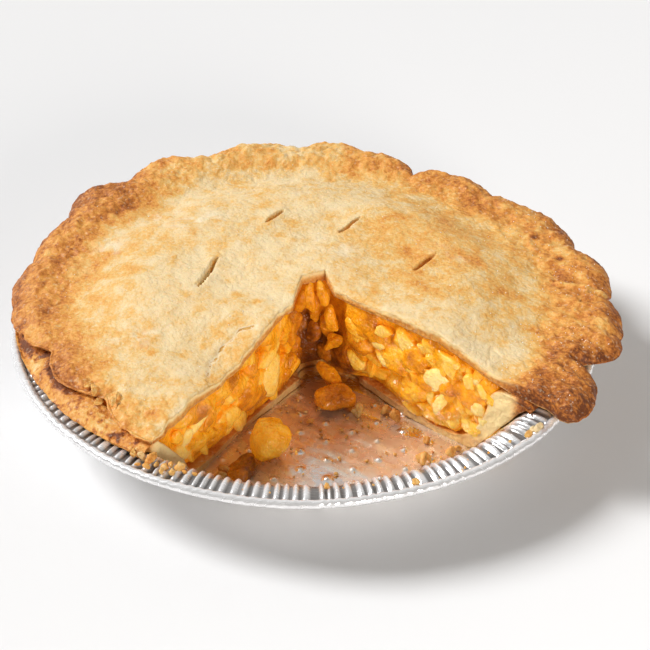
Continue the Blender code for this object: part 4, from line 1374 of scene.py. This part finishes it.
def make_sugar(material):
    """Sugar grains: small turned boxes pressed into the top crust, thicker on the right rim."""
    random = np.random.default_rng(31)
    radius = 128.0 * np.sqrt(random.uniform(0.0, 1.0, 6 * SUGAR_GRAINS))
    azimuth = random.uniform(-39.0, 234.0, len(radius))
    spots = on_circle(azimuth, radius)
    theta = turned(np.degrees(np.arctan2(spots[:, 1] - CORNER[1], spots[:, 0] - CORNER[0])))
    inside = (theta > RIGHT_CUT + 1.0) & (theta < LEFT_CUT - 1.0)
    inside &= (radius < edge_radius(azimuth) - 2.5) & (along_cut(spots) > 9.0)
    thick = 0.03 + 0.20 * smoothstep(45.0, 15.0, azimuth) * smoothstep(70.0, 100.0, radius)
    thick = thick * (0.3 + 1.4 * smoothstep(0.0, 0.6, noise(spots, 9.0, 6.0)))
    kept = spots[inside & (random.uniform(0.0, 1.0, len(radius)) < thick)][:SUGAR_GRAINS]
    kept[:, 2] = lid_height(kept)
    frames = np.linalg.qr(random.normal(size=(len(kept), 3, 3)))[0]
    frames *= np.sign(np.linalg.det(frames))[:, None, None]
    half = random.uniform(0.08, 0.20, (len(kept), 1, 3))
    points = (BOX_CORNERS * half) @ frames + kept[:, None] + (0.0, 0.0, 0.10)
    triangles = BOX_TRIANGLES + 8 * np.arange(len(kept))[:, None, None]
    return make_piece("sugar_grains", points.reshape(-1, 3), triangles.reshape(-1, 3), material)


# Loose flakes of pastry on the lid and the flange: x, y, length, width, turn, curl, how far baked
FLAKES = [
    (-82.8, -63.6, 6.5, 2.6, 100.0, 1.2, 0.36), (-80.5, -66.5, 5.0, 3.0, 60.0, 0.8, 0.40),
    (-75.0, -70.0, 5.5, 1.8, 95.0, 1.4, 0.34), (-84.5, -61.0, 4.5, 2.4, 30.0, 0.8, 0.44),
    (-73.2, -67.5, 4.0, 1.4, 80.0, 1.0, 0.30), (85.4, -82.2, 3.4, 2.4, 48.0, 0.4, 0.30),
    (89.4, -78.4, 6.0, 2.6, 52.0, 0.5, 0.03), (87.6, -79.2, 3.0, 2.2, 20.0, 0.5, 0.05),
]


def make_flakes(material):
    """Loose flakes: thin plates whose long side is bent to an arc, thinning to their ends."""
    collected, triangles = Points("baked", "flour", "raw"), []
    u, v = np.meshgrid(np.linspace(1.0, -1.0, 18), np.linspace(-1.0, 1.0, 9), indexing="ij")
    for number, (x, y, length, width, turn, curl, baked) in enumerate(FLAKES):
        across = 0.5 * width * v * np.sqrt(1.0 - 0.85 * u**2)
        middle = np.stack([0.5 * length * u, across, curl * (1.0 - u**2)], -1)
        middle[..., 2] += 0.5 * noise(middle, 1.6, number)
        half = np.array([0.0, 0.0, 0.35])
        block = np.stack([middle - half, middle + half], axis=2)
        spot = np.array([[x, y, 0.0]])
        rest = BEAD_TOP_Z if np.hypot(x, y) > 115.0 else lid_height(spot)[0]
        block = turn_about(turn_about(block, (1.0, 0.0, 0.0), 28.0), (0.0, 0.0, 1.0), turn)
        block = block + (x, y, rest + 0.3)
        used, faces = block_surface(block)
        triangles.append(collected.add(block.reshape(-1, 3)[used], baked=baked)[faces])
    points, masks = collected.all()
    return make_piece("pastry_flakes", points, np.concatenate(triangles), material, masks)


# Materials

class Graph:
    """Adds and links the nodes of one material or node group."""

    def __init__(self, tree):
        self.tree = tree

    def node(self, kind, inputs=None, **settings):
        """A new node with its settings; each input takes a value or another node's output."""
        made = self.tree.nodes.new(kind)
        for name, value in settings.items():
            setattr(made, name, value)
        self.feed_all(made.inputs, inputs or {})
        return made

    def feed(self, socket, value):
        """Links an output to a socket, or sets the socket's own value."""
        if isinstance(value, bpy.types.NodeSocket):
            self.tree.links.new(value, socket)
        else:
            socket.default_value = value

    def feed_all(self, sockets, values):
        """Feeds each named socket its value or output."""
        for name, value in values.items():
            self.feed(sockets[name], value)

    def noise(self, position, scale, detail=2.0, roughness=0.5):
        """Smooth noise about 0.5 at a number of lumps to the metre."""
        settings = {"Vector": position, "Scale": scale, "Detail": detail, "Roughness": roughness}
        return self.node("ShaderNodeTexNoise", settings).outputs[0]

    def math(self, operation, a, b=0.0, c=0.0):
        """One sum, product or other step on up to three values."""
        return self.node("ShaderNodeMath", {0: a, 1: b, 2: c}, operation=operation).outputs[0]

    def scaled(self, value, middle, gain):
        """(value - middle) * gain"""
        return self.math("MULTIPLY", self.math("SUBTRACT", value, middle), gain)

    def spread(self, value, low, high, to_low=0.0, to_high=1.0):
        """The value carried smoothly from one range to another, held at its ends."""
        ranges = {"Value": value, "From Min": low, "From Max": high, "To Min": to_low, "To Max": to_high}
        return self.node("ShaderNodeMapRange", ranges, interpolation_type="SMOOTHSTEP").outputs[0]

    def mix(self, share, first, second):
        """A colour part of the way from the first to the second."""
        return self.node("ShaderNodeMix", {0: share, 6: first, 7: second}, data_type="RGBA").outputs[2]

    def ramp(self, value, stops):
        """The colour at a value between 0 and 1, from a list of places and colours."""
        made = self.node("ShaderNodeValToRGB", {0: value})
        elements = made.color_ramp.elements
        while len(elements) < len(stops):
            elements.new(0.5)
        for element, (place_on_ramp, color) in zip(elements, stops):
            element.position = place_on_ramp
            element.color = (*color, 1.0)
        return made.outputs[0]

    def mask(self, name):
        """One of the piece's own point masks."""
        return self.node("ShaderNodeAttribute", attribute_name=name).outputs["Fac"]

    def position(self):
        """The point's place on the piece, in metres."""
        return self.node("ShaderNodeTexCoord").outputs["Object"]

    def bump(self, strength, distance, height):
        """A normal bent by a height."""
        given = {"Strength": strength, "Distance": distance, "Height": height}
        return self.node("ShaderNodeBump", given).outputs["Normal"]


def new_group(name, inputs, outputs):
    """A shader node group with named sockets: its graph, its inputs, and the node for its outputs."""
    group = bpy.data.node_groups.new(name, "ShaderNodeTree")
    for socket, kind in inputs.items():
        group.interface.new_socket(name=socket, in_out="INPUT", socket_type=kind)
    for socket, kind in outputs.items():
        group.interface.new_socket(name=socket, in_out="OUTPUT", socket_type=kind)
    graph = Graph(group)
    return graph, graph.node("NodeGroupInput").outputs, graph.node("NodeGroupOutput").inputs


VALUE, COLOR, VECTOR = "NodeSocketFloat", "NodeSocketColor", "NodeSocketVector"

# Colour of pastry by how far it is baked
BAKED_COLORS = [
    (0.00, (0.84, 0.66, 0.38)), (0.16, (0.81, 0.58, 0.28)), (0.30, (0.79, 0.46, 0.132)),
    (0.45, (0.75, 0.345, 0.070)), (0.60, (0.62, 0.235, 0.040)), (0.78, (0.42, 0.130, 0.020)),
    (1.00, (0.17, 0.045, 0.009)),
]
FLOUR_COLOR = (0.88, 0.76, 0.55, 1.0)
RAW_COLOR = (0.97, 0.75, 0.37, 1.0)
CRACK_COLOR = (0.66, 0.36, 0.09, 1.0)

# Colour of cooked apple by tone
APPLE_COLORS = [
    (0.00, (0.16, 0.035, 0.003)), (0.20, (0.52, 0.150, 0.006)), (0.42, (0.90, 0.35, 0.008)),
    (0.66, (0.96, 0.53, 0.060)), (1.00, (0.98, 0.74, 0.28)),
]

# Colour of syrup on foil by its thickness
SYRUP_COLORS = [
    (0.00, (0.92, 0.87, 0.80)), (0.25, (0.84, 0.71, 0.56)), (0.50, (0.68, 0.49, 0.31)),
    (1.00, (0.28, 0.115, 0.030)),
]
FOIL_COLOR = (0.84, 0.84, 0.85, 1.0)
BRIGHT_FOIL_COLOR = (0.95, 0.95, 0.96, 1.0)
# Dark colour painted into the pleats' valleys and the bead's crease as shade and dark reflection
VALLEY_SHADE_COLOR = (0.24, 0.228, 0.220, 1.0)

# Colour of the sky by height
SKY_COLORS = [
    (0.00, (0.14, 0.136, 0.131)), (0.35, (0.19, 0.184, 0.178)), (1.00, (0.23, 0.223, 0.215)),
]


def pastry_group():
    """Baked pastry: mottled colour by its masks, roughness, and the height of its crumbly grain."""
    graph, given, result = new_group(
        "mottled_pastry",
        {"Position": VECTOR, "Baked": VALUE, "Flour": VALUE, "Raw": VALUE, "Crack": VALUE},
        {"Color": COLOR, "Roughness": VALUE, "Height": VALUE},
    )
    position = given["Position"]
    fine = graph.noise(position, 700.0, 3.0, 0.6)
    medium = graph.noise(position, 210.0, 3.0, 0.6)
    broad = graph.noise(position, 50.0, 2.0)
    grainy = graph.math("ADD", given["Baked"], 0.28)
    shift = graph.math("MULTIPLY", graph.math("SUBTRACT", fine, 0.5), grainy)
    shift = graph.math("ADD", shift, graph.scaled(medium, 0.5, 0.34))
    shift = graph.math("ADD", shift, graph.scaled(broad, 0.5, 0.16))
    baked = graph.math("ADD", given["Baked"], shift)
    color = graph.ramp(baked, BAKED_COLORS)
    line = graph.math("ADD", given["Crack"], graph.scaled(medium, 0.5, 0.7))
    color = graph.mix(graph.spread(line, 0.70, 0.90, 0.0, 0.6), color, FLOUR_COLOR)
    color = graph.mix(graph.spread(line, 0.86, 0.94), color, CRACK_COLOR)
    speck = graph.spread(graph.noise(position, 650.0, 1.0), 0.60, 0.72, 0.0, 0.22)
    dust = graph.math("MAXIMUM", graph.math("MULTIPLY", given["Flour"], 0.75), speck)
    color = graph.mix(dust, color, FLOUR_COLOR)
    color = graph.mix(given["Raw"], color, RAW_COLOR)
    graph.feed(result["Color"], color)
    graph.feed(result["Roughness"], graph.spread(medium, 0.3, 0.7, 0.50, 0.72))
    pocks = graph.spread(graph.noise(position, 420.0, 2.0), 0.40, 0.60)
    height = graph.math("ADD", graph.math("MULTIPLY", fine, 0.6), graph.math("MULTIPLY", pocks, 0.4))
    height = graph.math("SUBTRACT", height, graph.spread(line, 0.88, 0.98, 0.0, 0.9))
    graph.feed(result["Height"], height)
    return graph.tree


def apple_group():
    """Wet cooked apple: colour by tone, flecked by fibre, with roughness and the height of its fibre."""
    graph, given, result = new_group(
        "wet_apple",
        {"Position": VECTOR, "Tone": VALUE},
        {"Color": COLOR, "Roughness": VALUE, "Height": VALUE},
    )
    position = given["Position"]
    fibre = graph.noise(position, 320.0, 4.0, 0.6)
    cloud = graph.noise(position, 110.0, 2.0)
    tone = graph.math("ADD", given["Tone"], graph.scaled(fibre, 0.5, 0.42))
    tone = graph.math("ADD", tone, graph.scaled(cloud, 0.5, 0.45))
    graph.feed(result["Color"], graph.ramp(tone, APPLE_COLORS))
    graph.feed(result["Roughness"], graph.spread(cloud, 0.3, 0.7, 0.12, 0.32))
    height = graph.math("ADD", fibre, graph.noise(position, 150.0, 2.0))
    graph.feed(result["Height"], graph.math("ADD", height, graph.noise(position, 900.0, 1.0)))
    return graph.tree


def principled(name):
    """A new material with its graph and its shader's inputs."""
    material = bpy.data.materials.new(name)
    material.use_nodes = True
    return material, Graph(material.node_tree), material.node_tree.nodes["Principled BSDF"].inputs


def pastry_material(name, group, bump):
    """Dry baked pastry with the shared mottled look and a bumpy grain."""
    material, graph, shader = principled(name)
    look = graph.node("ShaderNodeGroup", node_tree=group)
    masks = {mask.capitalize(): graph.mask(mask) for mask in ("baked", "flour", "raw", "crack")}
    graph.feed_all(look.inputs, {"Position": graph.position(), **masks})
    graph.feed_all(shader, {
        "Base Color": look.outputs["Color"],
        "Roughness": look.outputs["Roughness"],
        "Normal": graph.bump(bump, 0.0009, look.outputs["Height"]),
        "Specular IOR Level": 0.35,
        "Subsurface Weight": 0.10,
        "Subsurface Radius": (1.0, 0.5, 0.2),
        "Subsurface Scale": 0.0015,
    })
    return material


def apple_material(name, group, coat):
    """Glossy cooked apple under a skin of syrup; a little emission is painted light, a glow that
    brightens it.
    """
    material, graph, shader = principled(name)
    look = graph.node("ShaderNodeGroup", node_tree=group)
    graph.feed_all(look.inputs, {"Position": graph.position(), "Tone": graph.mask("tone")})
    graph.feed_all(shader, {
        "Base Color": look.outputs["Color"],
        "Roughness": look.outputs["Roughness"],
        "Normal": graph.bump(0.8, 0.0010, look.outputs["Height"]),
        # Emission: painted light, a glow in the apple's own colour
        "Emission Color": look.outputs["Color"],
        "Emission Strength": 0.18,
        "Coat Weight": coat,
        "Coat Roughness": 0.06,
        "Specular IOR Level": 0.3,
        "Subsurface Weight": 0.35,
        "Subsurface Radius": (1.0, 0.45, 0.10),
        "Subsurface Scale": 0.004,
    })
    return material


def foil_material():
    """Bright pressed foil: fine rolling streaks, small dents, a duller flange, and painted shade and
    dark reflection in the valleys of its pleats and in the crease by the bead."""
    material, graph, shader = principled("bright_foil")
    position = graph.position()
    dents = graph.noise(position, 160.0, 3.0, 0.6)
    drawn_out = graph.node("ShaderNodeMapping", {"Vector": position, "Scale": (1.0, 14.0, 1.0)})
    streaks = graph.noise(drawn_out.outputs[0], 220.0)
    bright = graph.mix(graph.spread(dents, 0.3, 0.7), FOIL_COLOR, BRIGHT_FOIL_COLOR)
    graph.feed_all(shader, {
        # The valley mask darkens the foil as painted shade and dark reflection
        "Base Color": graph.mix(graph.mask("valley"), bright, VALLEY_SHADE_COLOR),
        "Roughness": graph.spread(streaks, 0.3, 0.7, 0.16, 0.28),
        "Metallic": graph.spread(graph.mask("flange"), 0.0, 1.0, 1.0, 0.48),
        "Normal": graph.bump(0.35, 0.0008, dents),
    })
    return material


def syrup_material():
    """Thin brown syrup over foil: darker where it is thick, with the foil's shine where it is thin."""
    material, graph, shader = principled("floor_syrup")
    position = graph.position()
    uneven = graph.scaled(graph.noise(position, 130.0, 3.0), 0.5, 0.35)
    thick = graph.math("ADD", graph.mask("film"), uneven)
    graph.feed_all(shader, {
        "Base Color": graph.ramp(graph.math("MULTIPLY", thick, 0.8), SYRUP_COLORS),
        "Metallic": graph.spread(thick, 0.2, 1.0, 0.7, 0.15),
        "Roughness": graph.spread(graph.noise(position, 260.0, 2.0), 0.3, 0.7, 0.16, 0.38),
        "Normal": graph.bump(0.4, 0.0010, graph.noise(position, 90.0, 3.0)),
        "Coat Weight": 1.0,
        "Coat Roughness": 0.05,
    })
    return material


def sugar_material():
    """Clear white sugar."""
    material, graph, shader = principled("sugar_crystal")
    tint = graph.noise(graph.position(), 900.0, 1.0)
    graph.feed_all(shader, {
        "Base Color": graph.mix(tint, (0.95, 0.86, 0.70, 1.0), (0.98, 0.96, 0.92, 1.0)),
        "Roughness": 0.12,
        "Coat Weight": 0.5,
    })
    return material


def floor_material():
    """Plain pale studio floor."""
    material, graph, shader = principled("pale_floor")
    graph.feed_all(shader, {
        "Base Color": (0.83, 0.83, 0.835, 1.0),
        "Roughness": 0.85,
        "Specular IOR Level": 0.2,
    })
    return material


# Stage

CAMERA_DISTANCE = 0.85417
CAMERA_ELEVATION = 36.544
CAMERA_PAN = -0.6777
CAMERA_TILT = -1.4241
SENSOR_WIDTH = 36.0
LENS = 2000.0 / 650.0 * SENSOR_WIDTH
FLOOR_DISC_R = 2500.0


def add_camera():
    """The camera in front of the gap, looking down; pan and tilt turn it a little off the origin."""
    pan, low, high = np.radians([CAMERA_PAN, CAMERA_ELEVATION, CAMERA_ELEVATION + CAMERA_TILT])
    back = Vector((np.sin(pan) * np.cos(high), -np.cos(pan) * np.cos(high), np.sin(high)))
    right = Vector((np.cos(pan), np.sin(pan), 0.0))
    up = back.cross(right)
    lens = bpy.data.cameras.new("photo_camera")
    lens.sensor_width = SENSOR_WIDTH
    lens.lens = LENS
    camera = bpy.data.objects.new("photo_camera", lens)
    matrix = Matrix((right, up, back)).transposed().to_4x4()
    matrix.translation = Vector((0.0, -np.cos(low), np.sin(low))) * CAMERA_DISTANCE
    camera.matrix_world = matrix
    bpy.context.scene.collection.objects.link(camera)
    bpy.context.scene.camera = camera


def aimed(light, azimuth, elevation, distance):
    """Links a light at a direction from the origin, facing the pie."""
    made = bpy.data.objects.new(light.name, light)
    a, e = np.radians(azimuth), np.radians(elevation)
    towards = Vector((np.cos(a) * np.cos(e), np.sin(a) * np.cos(e), np.sin(e)))
    made.location = towards * distance
    made.rotation_euler = towards.to_track_quat("Z", "Y").to_euler()
    bpy.context.scene.collection.objects.link(made)


def add_lights():
    """A broad soft key light from the left and a little behind, a low fill from the front, and a
    pale sky that is brighter at the back."""
    key = bpy.data.lights.new("key_light", "SUN")
    key.energy = 3.3
    key.angle = np.radians(24.0)
    key.color = (0.99, 0.995, 1.0)
    aimed(key, 163.0, 43.0, 3.0)
    fill = bpy.data.lights.new("fill_light", "AREA")
    fill.shape = "DISK"
    fill.size = 0.45
    fill.energy = 14.0
    fill.color = (1.0, 0.94, 0.87)
    aimed(fill, 294.0, 17.0, 1.6)
    world = bpy.data.worlds.new("studio")
    bpy.context.scene.world = world
    world.use_nodes = True
    graph = Graph(world.node_tree)
    around = graph.node("ShaderNodeTexCoord").outputs["Generated"]
    direction = graph.node("ShaderNodeSeparateXYZ", {0: around}).outputs
    sky = graph.ramp(direction["Z"], SKY_COLORS)
    background = world.node_tree.nodes["Background"]
    graph.feed(background.inputs["Color"], sky)
    graph.feed(background.inputs["Strength"], graph.spread(direction["Y"], -0.4, 0.9, 0.55, 2.9))


def add_floor(material):
    """A wide level floor under the tin, as one disc."""
    corners = 96
    ring = on_circle(np.linspace(0.0, 360.0, corners, endpoint=False), FLOOR_DISC_R)
    mesh = bpy.data.meshes.new("studio_floor")
    mesh.from_pydata((ring * MM).tolist(), [], [list(range(corners))])
    mesh.materials.append(material)
    floor = bpy.data.objects.new("studio_floor", mesh)
    bpy.context.scene.collection.objects.link(floor)


def build():
    """Makes every piece of the pie, then the stage."""
    pastry, apple = pastry_group(), apple_group()
    lid = pastry_material("baked_top", pastry, 0.5)
    base = pastry_material("baked_base", pastry, 0.6)
    wet = apple_material("glazed_apple", apple, 0.35)
    make_top_crust(lid)
    make_bottom_crust(base)
    make_filling(wet)
    make_apple_pieces(wet)
    make_fallen_apple(wet)
    make_tin(foil_material())
    make_syrup(syrup_material())
    make_crumbs(base)
    make_sugar(sugar_material())
    make_flakes(lid)
    add_floor(floor_material())
    add_lights()
    add_camera()
    bpy.context.scene.view_settings.view_transform = "Standard"


build()
